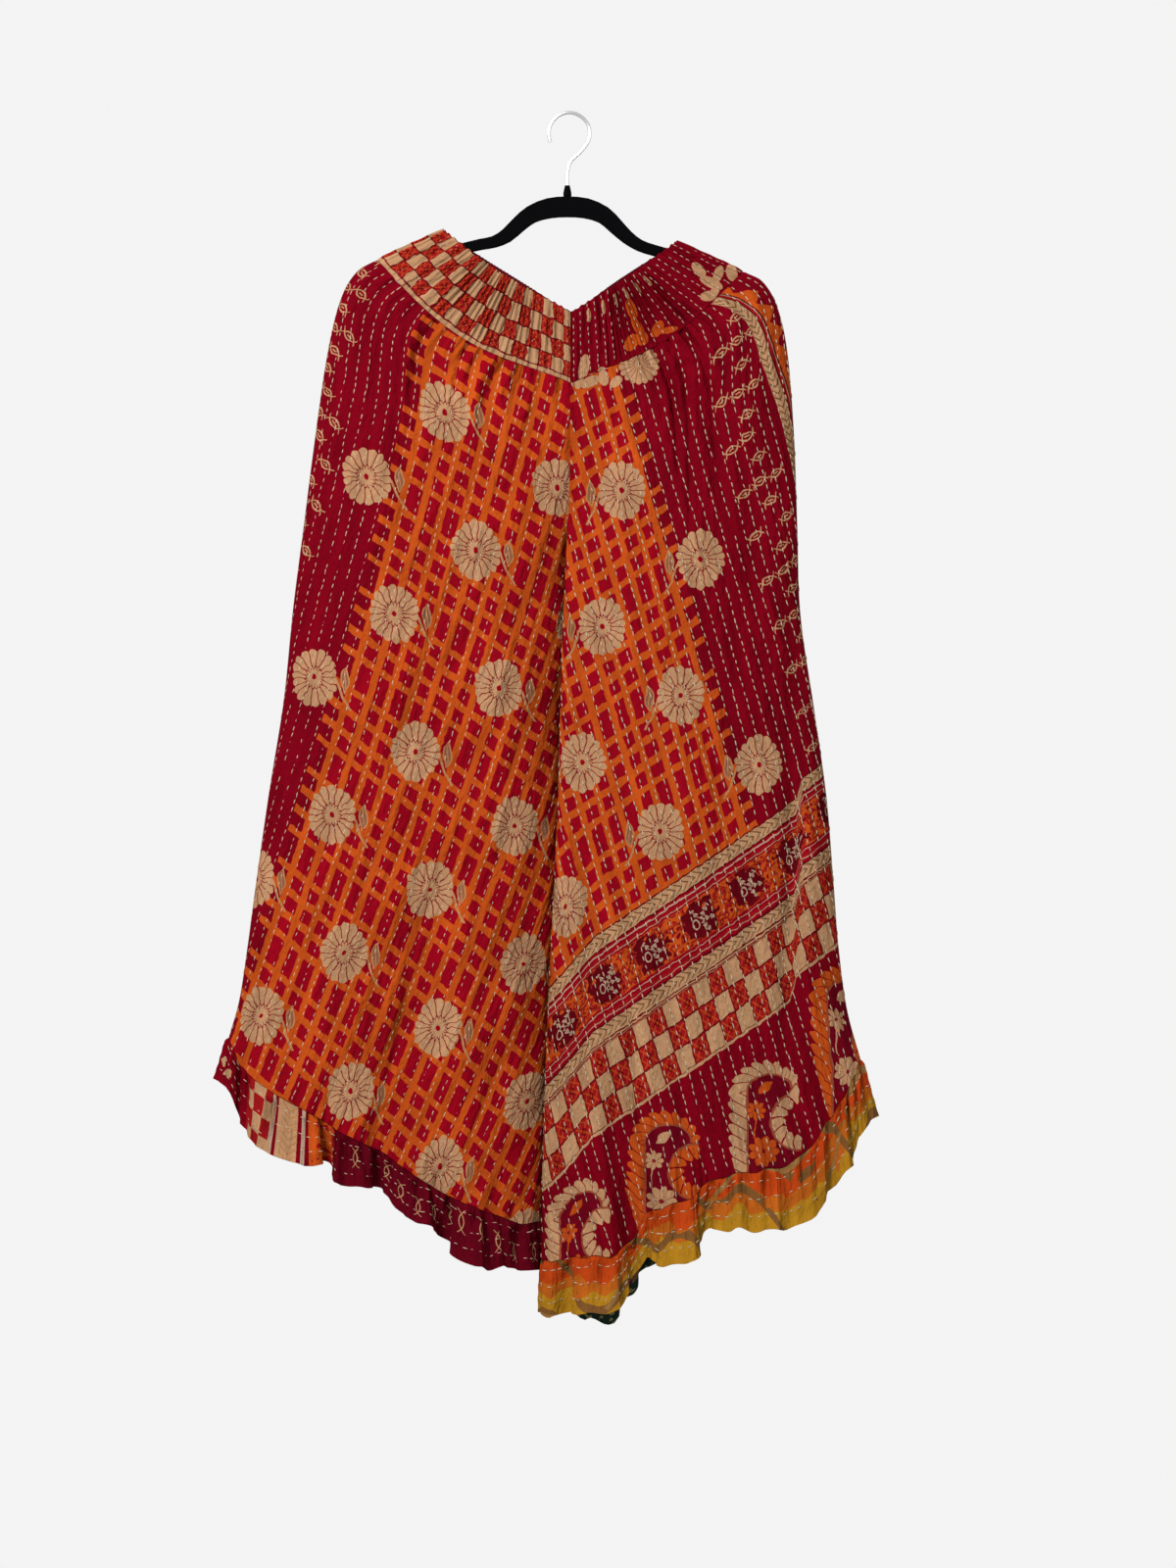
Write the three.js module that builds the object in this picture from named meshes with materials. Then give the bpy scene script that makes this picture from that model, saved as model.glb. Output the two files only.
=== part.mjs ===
// Ruffled wide-leg capri pants of hand-quilted cotton, hung over a slim flocked clothes hanger.
// Millimetres. +X is the viewer's right, +Y runs away from the viewer, +Z is up.
// The origin is the underside of the hook's bend, where the hanger rests on its rail.
// Right and left are the wearer's, so the right leg is at -X.

import * as THREE from 'three';
import { mergeVertices } from 'three/addons/utils/BufferGeometryUtils.js';

// Cloth
const LEG_CLOTH = 2.0;
const BAND_CLOTH = 3.0;
const RUFFLE_CLOTH = 1.7;
const SEAM_GAP = 0.35;
const SLANT_GAP = 0.65;

// How the sections of a leg turn at their two ends
const CENTRE_ZONE = 0.18;
const SIDE_ZONE = 0.78;
const END_ROUNDING = 3;
const CROWN = 0.1;
const BACK_LIFT = 6;

// Gathers of the elastic waistband and of the leg tops under it
const BAND_GATHERS_PER_QUARTER = 30;
const BAND_GATHER = { peak: 1.1, valley: -0.8 };
const BAND_ROWS = [0, 0.14, 0.86, 1];
const BAND_SWELL = [0.35, 1, 1, 0.3];
const LEG_GATHER = { peak: 3.2, valley: -0.3, gone: 3.4 };

// Where a leg's panels start and end among the rows of its section table
const BAND_SEAM = 1;
const FRONT_ROWS = [1, 1.5, 2, 2.5, 3, 3.6, 4.3, 5.2, 6.2, 7.2, 8.2, 9.2, 10.2, 11.2, 12.2, 13];
const BACK_ROWS = [1, 1.5, 2, 2.6, 3.3, 4.2, 5.2, 6.3, 7.5, 8.9, 10.3, 11.7, 13];
const HEM_BLEND = 2.6;

// Ruffle sewn round each hem
const RUFFLE_ROWS = [0, 0.34, 0.7, 1];
const RUFFLE_FLARE = 7;
const WIDE_WAVE = 0.06;

// Sections of each leg from the waistband's top to the hem seam. The crease is the centre seam and,
// lower down, the inner edge of the leg. The side is the outer edge. Sag is how far the cloth hangs
// under the straight line between them, deep is half the depth, and open is 1 where the centre
// stands open from front to back and 0 where the leg is a tube of its own.
const RIGHT_SECTIONS = [
  { creaseX: 2, creaseZ: -193, sideX: -122, sideZ: -112, sag: 6, deep: 14, open: 1 },
  { creaseX: 2, creaseZ: -262, sideX: -186, sideZ: -141, sag: 24, deep: 17, open: 1 },
  { creaseX: 2, creaseZ: -288, sideX: -209, sideZ: -156, sag: 22, deep: 20, open: 0.97 },
  { creaseX: 2, creaseZ: -321, sideX: -224, sideZ: -186, sag: 18, deep: 22, open: 0.88 },
  { creaseX: 1, creaseZ: -373, sideX: -236, sideZ: -240, sag: 14, deep: 24, open: 0.65 },
  { creaseX: -2, creaseZ: -440, sideX: -248, sideZ: -324, sag: 12, deep: 25, open: 0.25 },
  { creaseX: -5, creaseZ: -506, sideX: -258, sideZ: -402, sag: 12, deep: 26, open: 0 },
  { creaseX: -7, creaseZ: -573, sideX: -268, sideZ: -480, sag: 12, deep: 26, open: 0 },
  { creaseX: -9, creaseZ: -649, sideX: -277, sideZ: -568, sag: 12, deep: 27, open: 0 },
  { creaseX: -12.5, creaseZ: -734, sideX: -291, sideZ: -656, sag: 12, deep: 28, open: 0 },
  { creaseX: -17, creaseZ: -825, sideX: -303, sideZ: -739, sag: 13, deep: 29, open: 0 },
  { creaseX: -21, creaseZ: -915, sideX: -312, sideZ: -806, sag: 15, deep: 30, open: 0 },
  { creaseX: -24, creaseZ: -996, sideX: -320, sideZ: -858, sag: 18, deep: 31, open: 0 },
  { creaseX: -26.5, creaseZ: -1074, sideX: -330, sideZ: -894, sag: 22, deep: 32, open: 0 },
];
const LEFT_SECTIONS = [
  { creaseX: 2, creaseZ: -193, sideX: 104, sideZ: -123, sag: 3, deep: 14, open: 1 },
  { creaseX: 2, creaseZ: -262, sideX: 168, sideZ: -152, sag: 19, deep: 17, open: 1 },
  { creaseX: 2, creaseZ: -288, sideX: 189, sideZ: -164, sag: 19, deep: 20, open: 0.97 },
  { creaseX: 2, creaseZ: -321, sideX: 203, sideZ: -191, sag: 17, deep: 22, open: 0.88 },
  { creaseX: 1, creaseZ: -373, sideX: 212, sideZ: -236, sag: 14, deep: 24, open: 0.65 },
  { creaseX: -2, creaseZ: -440, sideX: 218, sideZ: -316, sag: 12, deep: 25, open: 0.25 },
  { creaseX: -5, creaseZ: -506, sideX: 221, sideZ: -402, sag: 12, deep: 26, open: 0 },
  { creaseX: -7, creaseZ: -573, sideX: 224, sideZ: -485, sag: 12, deep: 26, open: 0 },
  { creaseX: -9, creaseZ: -649, sideX: 237, sideZ: -575, sag: 13, deep: 27, open: 0 },
  { creaseX: -12.5, creaseZ: -734, sideX: 249, sideZ: -660, sag: 15, deep: 28, open: 0 },
  { creaseX: -17, creaseZ: -825, sideX: 256, sideZ: -744, sag: 18, deep: 29, open: 0 },
  { creaseX: -21, creaseZ: -915, sideX: 261, sideZ: -808, sag: 22, deep: 30, open: 0 },
  { creaseX: -24, creaseZ: -1010, sideX: 269, sideZ: -867, sag: 28, deep: 31, open: 0 },
  { creaseX: -25.5, creaseZ: -1109, sideX: 282, sideZ: -915, sag: 34, deep: 33, open: 0 },
];

// Folds of the leg cloth. At runs from the crease, 0, to the side, 1, at the fold's upper and lower
// end. Rise is outward and negative in a trough, and wide is a share of the section's length.
const RIGHT_FRONT_FOLDS = [
  { atTop: 0.92, atFoot: 0.92, from: 3.2, to: 7.8, rise: -5, wide: 0.05 },
  { atTop: 0.83, atFoot: 0.79, from: 2.4, to: 4.8, rise: -4, wide: 0.035 },
  { atTop: 0.3, atFoot: 0.22, from: 4.5, to: 13.5, rise: 5, wide: 0.13 },
  { atTop: 0.39, atFoot: 0.52, from: 8.8, to: 14, rise: -8, wide: 0.07 },
  { atTop: 0.62, atFoot: 0.7, from: 5, to: 13.5, rise: 5, wide: 0.12 },
];
const LEFT_FRONT_FOLDS = [
  { atTop: 0.6, atFoot: 0.71, from: 3, to: 5.8, rise: -5, wide: 0.05 },
  { atTop: 0.745, atFoot: 0.83, from: 4.5, to: 7, rise: -5, wide: 0.045 },
  { atTop: 0.91, atFoot: 0.8, from: 7.3, to: 12.6, rise: -8, wide: 0.045 },
  { atTop: 0.14, atFoot: 0.31, from: 8.6, to: 14, rise: -9, wide: 0.05 },
  { atTop: 0.45, atFoot: 0.55, from: 5, to: 13.5, rise: 6, wide: 0.13 },
];
const RIGHT_BACK_FOLDS = [
  { atTop: 0.2, atFoot: 0.3, from: 5, to: 13.5, rise: -6, wide: 0.08 },
  { atTop: 0.5, atFoot: 0.48, from: 4, to: 13.5, rise: 5, wide: 0.12 },
  { atTop: 0.75, atFoot: 0.8, from: 3, to: 11, rise: -6, wide: 0.07 },
];
const LEFT_BACK_FOLDS = [
  { atTop: 0.25, atFoot: 0.35, from: 6, to: 13.5, rise: -7, wide: 0.08 },
  { atTop: 0.55, atFoot: 0.6, from: 4, to: 13.5, rise: 5, wide: 0.12 },
  { atTop: 0.8, atFoot: 0.72, from: 3, to: 10, rise: -5, wide: 0.06 },
];

// Hem and ruffle, a row for each crest and hollow of the ruffle's waves. Dip is how far the seam
// hangs under the straight line from crease to side, drop is the ruffle's depth below the seam,
// and out is how far its free edge stands out.
const RIGHT_HEM = [
  { at: 0, dip: 0, drop: 47, out: 0 },
  { at: 0.076, dip: 12, drop: 43, out: 6 },
  { at: 0.12, dip: 14, drop: 46, out: -4 },
  { at: 0.19, dip: 18, drop: 54, out: 12 },
  { at: 0.266, dip: 22, drop: 55, out: 3 },
  { at: 0.31, dip: 24, drop: 43, out: -8 },
  { at: 0.38, dip: 23, drop: 40, out: 10 },
  { at: 0.449, dip: 22, drop: 41, out: 3 },
  { at: 0.506, dip: 20, drop: 35, out: -9 },
  { at: 0.585, dip: 22, drop: 43, out: 9 },
  { at: 0.64, dip: 24, drop: 49, out: 2 },
  { at: 0.68, dip: 23, drop: 37, out: -9 },
  { at: 0.744, dip: 23, drop: 50, out: 10 },
  { at: 0.839, dip: 25, drop: 54, out: 13 },
  { at: 0.91, dip: 24, drop: 55, out: 5 },
  { at: 0.96, dip: 19, drop: 52, out: -4 },
  { at: 0.987, dip: 6, drop: 40, out: 3 },
  { at: 1, dip: 0, drop: 41, out: 12 },
];
const LEFT_HEM = [
  { at: 0, dip: 0, drop: 50, out: 0 },
  { at: 0.037, dip: 7, drop: 53, out: 6 },
  { at: 0.08, dip: 12, drop: 52, out: -4 },
  { at: 0.142, dip: 22, drop: 53, out: 10 },
  { at: 0.219, dip: 35, drop: 51, out: 11 },
  { at: 0.275, dip: 33, drop: 37, out: -5 },
  { at: 0.325, dip: 15, drop: 43, out: -10 },
  { at: 0.389, dip: 20, drop: 55, out: 11 },
  { at: 0.462, dip: 27, drop: 59, out: 9 },
  { at: 0.512, dip: 22, drop: 45, out: -10 },
  { at: 0.59, dip: 29, drop: 51, out: 8 },
  { at: 0.682, dip: 43, drop: 55, out: 12 },
  { at: 0.759, dip: 54, drop: 58, out: 9 },
  { at: 0.836, dip: 52, drop: 66, out: 3 },
  { at: 0.898, dip: 37, drop: 67, out: -4 },
  { at: 0.944, dip: 25, drop: 66, out: 8 },
  { at: 0.98, dip: 11, drop: 58, out: 4 },
  { at: 1, dip: 0, drop: 56, out: 14 },
];

// The back hem hangs like the front one, with its waves in the other order, and lower by the crease
const RIGHT_BACK_LOWER = { from: 0.02, to: 0.6, by: 4 };
const LEFT_BACK_LOWER = { from: 0.01, to: 0.47, by: 25 };

// Hanger
const HANGER_THICK = 5.6;
const HANGER_EDGE = 1.1;
const ARCH = [
  { x: -86, z: -126, half: 5.4 },
  { x: -73, z: -123.5, half: 5.7 },
  { x: -61, z: -117.5, half: 7 },
  { x: -49, z: -106.5, half: 7.8 },
  { x: -37, z: -97, half: 8.6 },
  { x: -20, z: -91, half: 9.8 },
  { x: -2, z: -89.6, half: 10 },
  { x: 16, z: -91, half: 9.8 },
  { x: 33, z: -97.5, half: 8.6 },
  { x: 44, z: -107.5, half: 7.8 },
  { x: 56, z: -119, half: 6.6 },
  { x: 68, z: -127, half: 5.7 },
  { x: 81, z: -131.5, half: 5.4 },
];
const RIGHT_ARM = [
  { x: -200, z: -164.2, half: 3.6 },
  { x: -191, z: -152.2, half: 4.2 },
  { x: -170, z: -145.2, half: 4.4 },
  { x: -140, z: -138, half: 4.8 },
  { x: -110, z: -131.5, half: 5.1 },
];
const LEFT_ARM = [
  { x: 105, z: -138, half: 5.1 },
  { x: 130, z: -145.5, half: 4.8 },
  { x: 152, z: -154.2, half: 4.4 },
  { x: 172, z: -164.2, half: 4.2 },
  { x: 181, z: -177.2, half: 3.6 },
];
const ARCH_STEPS = 44;
const FERRULE = { x: -2, foot: -79.2, shoulder: -76, top: -69, footRadius: 4, topRadius: 2.5 };

// Hook of round wire, its bend resting on the origin
const WIRE = 3.6;
const HOOK_PATH = [
  { x: -2, z: -68.7 },
  { x: -2, z: -56 },
  { x: 1, z: -46 },
  { x: 11, z: -36 },
  { x: 19, z: -24 },
  { x: 18, z: -9.5 },
  { x: 9, z: -0.6 },
  { x: 0, z: 1.8 },
  { x: -10, z: -0.9 },
  { x: -18, z: -9.5 },
  { x: -20, z: -20 },
  { x: -18.5, z: -27 },
];

const mix = (a, b, f) => a + (b - a) * f;

function smooth(from, to, value) {
  const f = Math.min(1, Math.max(0, (value - from) / (to - from)));
  return f * f * (3 - 2 * f);
}

// A column of a table, read smoothly at row number v
function column(table, key, v) {
  const i = Math.min(Math.floor(v), table.length - 2);
  const f = v - i;
  const b = table[i][key];
  const c = table[i + 1][key];
  const a = i > 0 ? table[i - 1][key] : 2 * b - c;
  const d = i + 2 < table.length ? table[i + 2][key] : 2 * c - b;
  const curve = 2 * a - 5 * b + 4 * c - d + f * (3 * (b - c) + d - a);
  return b + 0.5 * f * (c - a + f * curve);
}

// A column of a hem table, read smoothly at a share of the way from crease to side
function hemColumn(table, key, at) {
  let i = 0;
  while (i < table.length - 2 && table[i + 1].at < at) {
    i += 1;
  }
  return mix(table[i][key], table[i + 1][key], smooth(table[i].at, table[i + 1].at, at));
}

function backHem(front, lower) {
  const last = front.length - 1;
  return front.map((row, i) => {
    const across = (row.at - lower.from) / (lower.to - lower.from);
    const bump = across > 0 && across < 1 ? Math.sin(Math.PI * across) ** 2 : 0;
    const inner = i > 0 && i < last;
    return {
      at: row.at,
      dip: row.dip + lower.by * bump,
      drop: row.drop,
      out: inner ? front[last - i].out * 0.9 : row.out,
    };
  });
}

// The four quarters of the garment, as named by the wearer. Out is -1 to the front, 1 to the back.
const QUARTERS = {
  frontRight: { side: -1, out: -1, sections: RIGHT_SECTIONS, folds: RIGHT_FRONT_FOLDS, hem: RIGHT_HEM },
  frontLeft: { side: 1, out: -1, sections: LEFT_SECTIONS, folds: LEFT_FRONT_FOLDS, hem: LEFT_HEM },
  backRight: {
    side: -1, out: 1, sections: RIGHT_SECTIONS, folds: RIGHT_BACK_FOLDS,
    hem: backHem(RIGHT_HEM, RIGHT_BACK_LOWER),
  },
  backLeft: {
    side: 1, out: 1, sections: LEFT_SECTIONS, folds: LEFT_BACK_FOLDS,
    hem: backHem(LEFT_HEM, LEFT_BACK_LOWER),
  },
};
const HEM_ROW = RIGHT_SECTIONS.length - 1;

// Where a point stands in its section: share of the way to the side, and share of the depth
function across(t, open, rounding) {
  if (t < CENTRE_ZONE) {
    const turn = (t / CENTRE_ZONE) * Math.PI / 2;
    const along = open * (t / CENTRE_ZONE) + (1 - open) * (1 - Math.cos(turn));
    return { at: rounding * along, full: open + (1 - open) * Math.sin(turn) };
  }
  if (t > SIDE_ZONE) {
    const turn = ((t - SIDE_ZONE) / (1 - SIDE_ZONE)) * Math.PI / 2;
    return { at: 1 - rounding * (1 - Math.sin(turn)), full: Math.cos(turn) };
  }
  return { at: mix(rounding, 1 - rounding, (t - CENTRE_ZONE) / (SIDE_ZONE - CENTRE_ZONE)), full: 1 };
}

function foldRise(folds, at, v) {
  let rise = 0;
  for (const fold of folds) {
    if (v > fold.from && v < fold.to) {
      const f = (v - fold.from) / (fold.to - fold.from);
      const off = (at - mix(fold.atTop, fold.atFoot, f)) / fold.wide;
      rise += fold.rise * Math.sin(Math.PI * f) ** 0.7 * Math.exp(-off * off);
    }
  }
  return rise;
}

// A point of the smooth cloth: t runs from the crease, 0, to the side, 1, and v down the sections
function cloth(quarter, t, v) {
  const { side, out, sections, folds, hem } = quarter;
  const open = Math.min(1, Math.max(0, column(sections, 'open', v)));
  const centreX = column(sections, 'creaseX', v) + side * (SEAM_GAP / 2 + 0.5 * (1 - open));
  const centreZ = column(sections, 'creaseZ', v);
  const sideX = column(sections, 'sideX', v);
  const sideZ = column(sections, 'sideZ', v);
  const deep = column(sections, 'deep', v);
  const length = Math.hypot(sideX - centreX, sideZ - centreZ);
  const { at, full } = across(t, open, Math.min(0.42, END_ROUNDING * deep / length));
  const toHem = smooth(HEM_ROW - HEM_BLEND, HEM_ROW, v);
  const hang = column(sections, 'sag', v) * Math.sin(Math.PI * at ** 1.25);
  const dip = mix(hang, hemColumn(hem, 'dip', at), toHem);
  const lift = out > 0 ? BACK_LIFT * Math.sin(Math.PI * at) * (1 - smooth(1, 4, v)) : 0;
  const hemWave = hemColumn(hem, 'out', at) * 0.35 * smooth(HEM_ROW - 1.2, HEM_ROW, v);
  const swell = deep * (1 + CROWN * Math.sin(Math.PI * at));
  const depth = full * (swell + full * (foldRise(folds, at, v) + hemWave)) + SEAM_GAP / 2;
  return new THREE.Vector3(
    mix(centreX, sideX, at),
    out * depth,
    mix(centreZ, sideZ, at) - dip + lift,
  );
}

// The outward direction of a surface given as a function of t and v
function outward(surface, t, v, vMin, vMax, hand) {
  const step = 0.004;
  const t0 = Math.max(0, t - step);
  const t1 = Math.min(1, t + step);
  const v0 = Math.max(vMin, v - 10 * step);
  const v1 = Math.min(vMax, v + 10 * step);
  const alongT = surface(t1, v).sub(surface(t0, v));
  const alongV = surface(t, v1).sub(surface(t, v0));
  return alongT.cross(alongV).multiplyScalar(hand).normalize();
}

function clothNormal(quarter, t, v) {
  const hand = quarter.side * quarter.out;
  const normal = outward((a, b) => cloth(quarter, a, b), t, v, 0, HEM_ROW, hand);
  const open = Math.min(1, Math.max(0, column(quarter.sections, 'open', v)));
  if (t === 0) {
    normal.x *= 1 - open;
  }
  if (t === 1) {
    normal.y = 0;
  }
  if (v === HEM_ROW) {
    normal.z = 0;
  }
  return normal.normalize();
}

// A closed wall between an outer and an inner grid of points
function wall(outer, inner, ring) {
  const rows = outer.length;
  const cols = outer[0].length;
  const positions = [...outer.flat(), ...inner.flat()].flatMap((p) => [p.x, p.y, p.z]);
  const index = [];
  const id = (sheet, r, c) => (sheet * rows + r) * cols + (c % cols);
  const quad = (a, b, c, d) => index.push(a, b, c, a, c, d);
  const lastCol = ring ? cols : cols - 1;
  const lastRow = rows - 1;
  for (let c = 0; c < lastCol; c += 1) {
    for (let r = 0; r < lastRow; r += 1) {
      quad(id(0, r, c), id(0, r + 1, c), id(0, r + 1, c + 1), id(0, r, c + 1));
      quad(id(1, r, c), id(1, r, c + 1), id(1, r + 1, c + 1), id(1, r + 1, c));
    }
    quad(id(0, 0, c), id(0, 0, c + 1), id(1, 0, c + 1), id(1, 0, c));
    quad(id(0, lastRow, c + 1), id(0, lastRow, c), id(1, lastRow, c), id(1, lastRow, c + 1));
  }
  if (!ring) {
    for (let r = 0; r < lastRow; r += 1) {
      quad(id(0, r + 1, 0), id(0, r, 0), id(1, r, 0), id(1, r + 1, 0));
      quad(id(0, r, lastCol), id(0, r + 1, lastCol), id(1, r + 1, lastCol), id(1, r, lastCol));
    }
  }
  const geometry = new THREE.BufferGeometry();
  geometry.setAttribute('position', new THREE.Float32BufferAttribute(positions, 3));
  geometry.setIndex(signedVolume(positions, index) > 0 ? index : turned(index));
  return geometry;
}

function signedVolume(positions, index) {
  const corner = (i) => new THREE.Vector3().fromArray(positions, 3 * i);
  let volume = 0;
  for (let i = 0; i < index.length; i += 3) {
    volume += corner(index[i]).dot(corner(index[i + 1]).cross(corner(index[i + 2])));
  }
  return volume / 6;
}

function turned(index) {
  const result = [];
  for (let i = 0; i < index.length; i += 3) {
    result.push(index[i], index[i + 2], index[i + 1]);
  }
  return result;
}

function legPanel(quarter, rows) {
  const stations = hemStations(quarter);
  const steps = stations.length - 1;
  const outer = [];
  const inner = [];
  for (const v of rows) {
    const outerRow = [];
    const innerRow = [];
    const toHem = smooth(HEM_ROW - 4, HEM_ROW, v);
    for (let c = 0; c <= steps; c += 1) {
      const t = mix(c / steps, stations[c], toHem);
      const base = cloth(quarter, t, v);
      const normal = clothNormal(quarter, t, v);
      if (v === BAND_SEAM) {
        base.z -= SLANT_GAP;
      }
      const gathered = c > 2 && c < steps - 1 ? 1 - smooth(BAND_SEAM, LEG_GATHER.gone, v) : 0;
      const rise = (c % 2 === 0 ? LEG_GATHER.peak : LEG_GATHER.valley) * gathered;
      outerRow.push(base.clone().addScaledVector(normal, rise));
      innerRow.push(base.clone().addScaledVector(normal, -LEG_CLOTH));
    }
    outer.push(outerRow);
    inner.push(innerRow);
  }
  return wall(outer, inner, false);
}

// One half of the waistband, from the centre front round the side to the centre back
function waistband(front, back) {
  const steps = 2 * BAND_GATHERS_PER_QUARTER;
  const outer = [];
  const inner = [];
  BAND_ROWS.forEach((v, r) => {
    const outerRow = [];
    const innerRow = [];
    for (let c = 0; c <= 2 * steps; c += 1) {
      const quarter = c <= steps ? front : back;
      const t = c <= steps ? c / steps : (2 * steps - c) / steps;
      const base = cloth(quarter, t, v);
      const normal = clothNormal(quarter, t, v);
      if (c === steps) {
        base.y = 0;
      }
      const end = c === 0 || c === 2 * steps;
      const rise = (c % 2 === 1 ? BAND_GATHER.peak : BAND_GATHER.valley) * (end ? 0 : BAND_SWELL[r]);
      outerRow.push(base.clone().addScaledVector(normal, rise));
      innerRow.push(base.clone().addScaledVector(normal, -BAND_CLOTH));
    }
    outer.push(outerRow);
    inner.push(innerRow);
  });
  return wall(outer, inner, false);
}

// A point of a ruffle: w runs down from the hem seam, 0, to the free edge, 1
function ruffleCloth(quarter, t, w) {
  const point = cloth(quarter, t, HEM_ROW);
  if (t === 0 || t === 1) {
    point.y = 0;
  }
  const step = 0.003;
  const ahead = cloth(quarter, Math.min(1, t + step), HEM_ROW);
  const behind = cloth(quarter, Math.max(0, t - step), HEM_ROW);
  const turn = new THREE.Vector3(behind.y - ahead.y, ahead.x - behind.x, 0).normalize();
  turn.multiplyScalar(quarter.side * quarter.out);
  const share = (point.x - column(quarter.sections, 'creaseX', HEM_ROW))
    / (column(quarter.sections, 'sideX', HEM_ROW) - column(quarter.sections, 'creaseX', HEM_ROW));
  const at = Math.min(1, Math.max(0, share));
  const flare = RUFFLE_FLARE * smooth(0, 0.15, at) * (1 - 0.7 * smooth(0.9, 1, at));
  const wave = hemColumn(quarter.hem, 'out', at) * 0.9;
  point.addScaledVector(turn, flare * w + wave * w ** 1.2);
  point.z -= SLANT_GAP + w * hemColumn(quarter.hem, 'drop', at);
  return point;
}

// The places along a hem where its walls have a column: its crests and hollows, and halfway
// between those that lie far apart
function hemStations(quarter) {
  const { sections, hem } = quarter;
  const length = Math.hypot(
    column(sections, 'sideX', HEM_ROW) - column(sections, 'creaseX', HEM_ROW),
    column(sections, 'sideZ', HEM_ROW) - column(sections, 'creaseZ', HEM_ROW),
  );
  const rounding = Math.min(0.42, END_ROUNDING * column(sections, 'deep', HEM_ROW) / length);
  const places = [];
  hem.forEach((row, i) => {
    places.push(row.at);
    if (i < hem.length - 1 && hem[i + 1].at - row.at > WIDE_WAVE) {
      places.push(mix(row.at, hem[i + 1].at, 0.5));
    }
  });
  return places.map((at) => {
    if (at < rounding) {
      return CENTRE_ZONE * Math.acos(1 - at / rounding) / (Math.PI / 2);
    }
    if (at > 1 - rounding) {
      return 1 - (1 - SIDE_ZONE) * Math.acos(1 - (1 - at) / rounding) / (Math.PI / 2);
    }
    return mix(CENTRE_ZONE, SIDE_ZONE, (at - rounding) / (1 - 2 * rounding));
  });
}

// The columns of one half of a ruffle, with one more between each two stations of the hem
function ruffleColumns(quarter) {
  const stations = hemStations(quarter);
  return stations.flatMap((t, i) => {
    const here = { quarter, t, between: null };
    const next = stations[i + 1];
    return next === undefined ? [here] : [here, { quarter, t: mix(t, next, 0.5), between: [t, next] }];
  });
}

function ruffleRow(around, w) {
  return around.map(({ quarter, t, between }) => {
    const point = ruffleCloth(quarter, t, w);
    if (!between) {
      return point;
    }
    const straight = ruffleCloth(quarter, between[0], w).lerp(ruffleCloth(quarter, between[1], w), 0.5);
    return straight.lerp(point, smooth(0, 0.4, w));
  });
}

function ruffle(front, back) {
  const around = [
    ...ruffleColumns(front),
    ...ruffleColumns(back).slice(1, -1).reverse(),
  ];
  const outer = [];
  const inner = [];
  for (const w of RUFFLE_ROWS) {
    const points = ruffleRow(around, w);
    const below = ruffleRow(around, Math.min(1, w + 0.05));
    const above = ruffleRow(around, Math.max(0, w - 0.05));
    const innerRow = points.map((point, i) => {
      const next = points[(i + 1) % points.length];
      const last = points[(i + points.length - 1) % points.length];
      const normal = next.clone().sub(last).cross(below[i].clone().sub(above[i]));
      normal.multiplyScalar(front.side * front.out).normalize();
      normal.z *= w === 0 ? 0 : 1;
      return point.clone().addScaledVector(normal, -RUFFLE_CLOTH);
    });
    outer.push(points);
    inner.push(innerRow);
  }
  return wall(outer, inner, true);
}

// The flocked body: one flat strip that runs from arm tip over the arch to arm tip
function hangerBody() {
  const rows = [...RIGHT_ARM, ...ARCH, ...LEFT_ARM];
  const path = new THREE.CatmullRomCurve3(
    rows.map((row) => new THREE.Vector3(row.x, row.z, row.half)),
    false,
    'centripetal',
  );
  const upper = [];
  const lower = [];
  const steps = ARCH_STEPS;
  for (let i = 0; i <= steps; i += 1) {
    const here = path.getPoint(i / steps);
    const along = path.getTangent(i / steps).setZ(0).normalize();
    const half = here.z - HANGER_EDGE;
    upper.push(new THREE.Vector2(here.x - along.y * half, here.y + along.x * half));
    lower.unshift(new THREE.Vector2(here.x + along.y * half, here.y - along.x * half));
  }
  const outline = new THREE.Shape([...upper, ...lower]);
  const body = new THREE.ExtrudeGeometry(outline, {
    depth: HANGER_THICK - 2 * HANGER_EDGE,
    bevelEnabled: true,
    bevelThickness: HANGER_EDGE,
    bevelSize: HANGER_EDGE,
    bevelSegments: 1,
  });
  body.translate(0, 0, -(HANGER_THICK / 2 - HANGER_EDGE));
  body.rotateX(Math.PI / 2);
  return plain(body);
}

function ferrule() {
  const { foot, shoulder, top, footRadius, topRadius } = FERRULE;
  const profile = [
    new THREE.Vector2(0, foot),
    new THREE.Vector2(footRadius, foot),
    new THREE.Vector2(footRadius, shoulder),
    new THREE.Vector2(topRadius, top),
    new THREE.Vector2(0, top),
  ];
  const geometry = new THREE.LatheGeometry(profile, 16);
  geometry.rotateX(Math.PI / 2);
  geometry.translate(FERRULE.x, 0, 0);
  return plain(geometry);
}

function hook() {
  const path = new THREE.CatmullRomCurve3(
    HOOK_PATH.map((row) => new THREE.Vector3(row.x, 0, row.z)),
    false,
    'centripetal',
  );
  const section = new THREE.Shape();
  section.absarc(0, 0, WIRE / 2, 0, 2 * Math.PI);
  const geometry = new THREE.ExtrudeGeometry(section, {
    steps: 36,
    curveSegments: 5,
    extrudePath: path,
    bevelEnabled: false,
  });
  return plain(geometry);
}

// Position-only geometry with its shared corners merged
function plain(geometry) {
  const bare = new THREE.BufferGeometry();
  bare.setAttribute('position', geometry.getAttribute('position'));
  if (geometry.index) {
    bare.setIndex(geometry.index);
  }
  return mergeVertices(bare, 1e-4);
}

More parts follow.
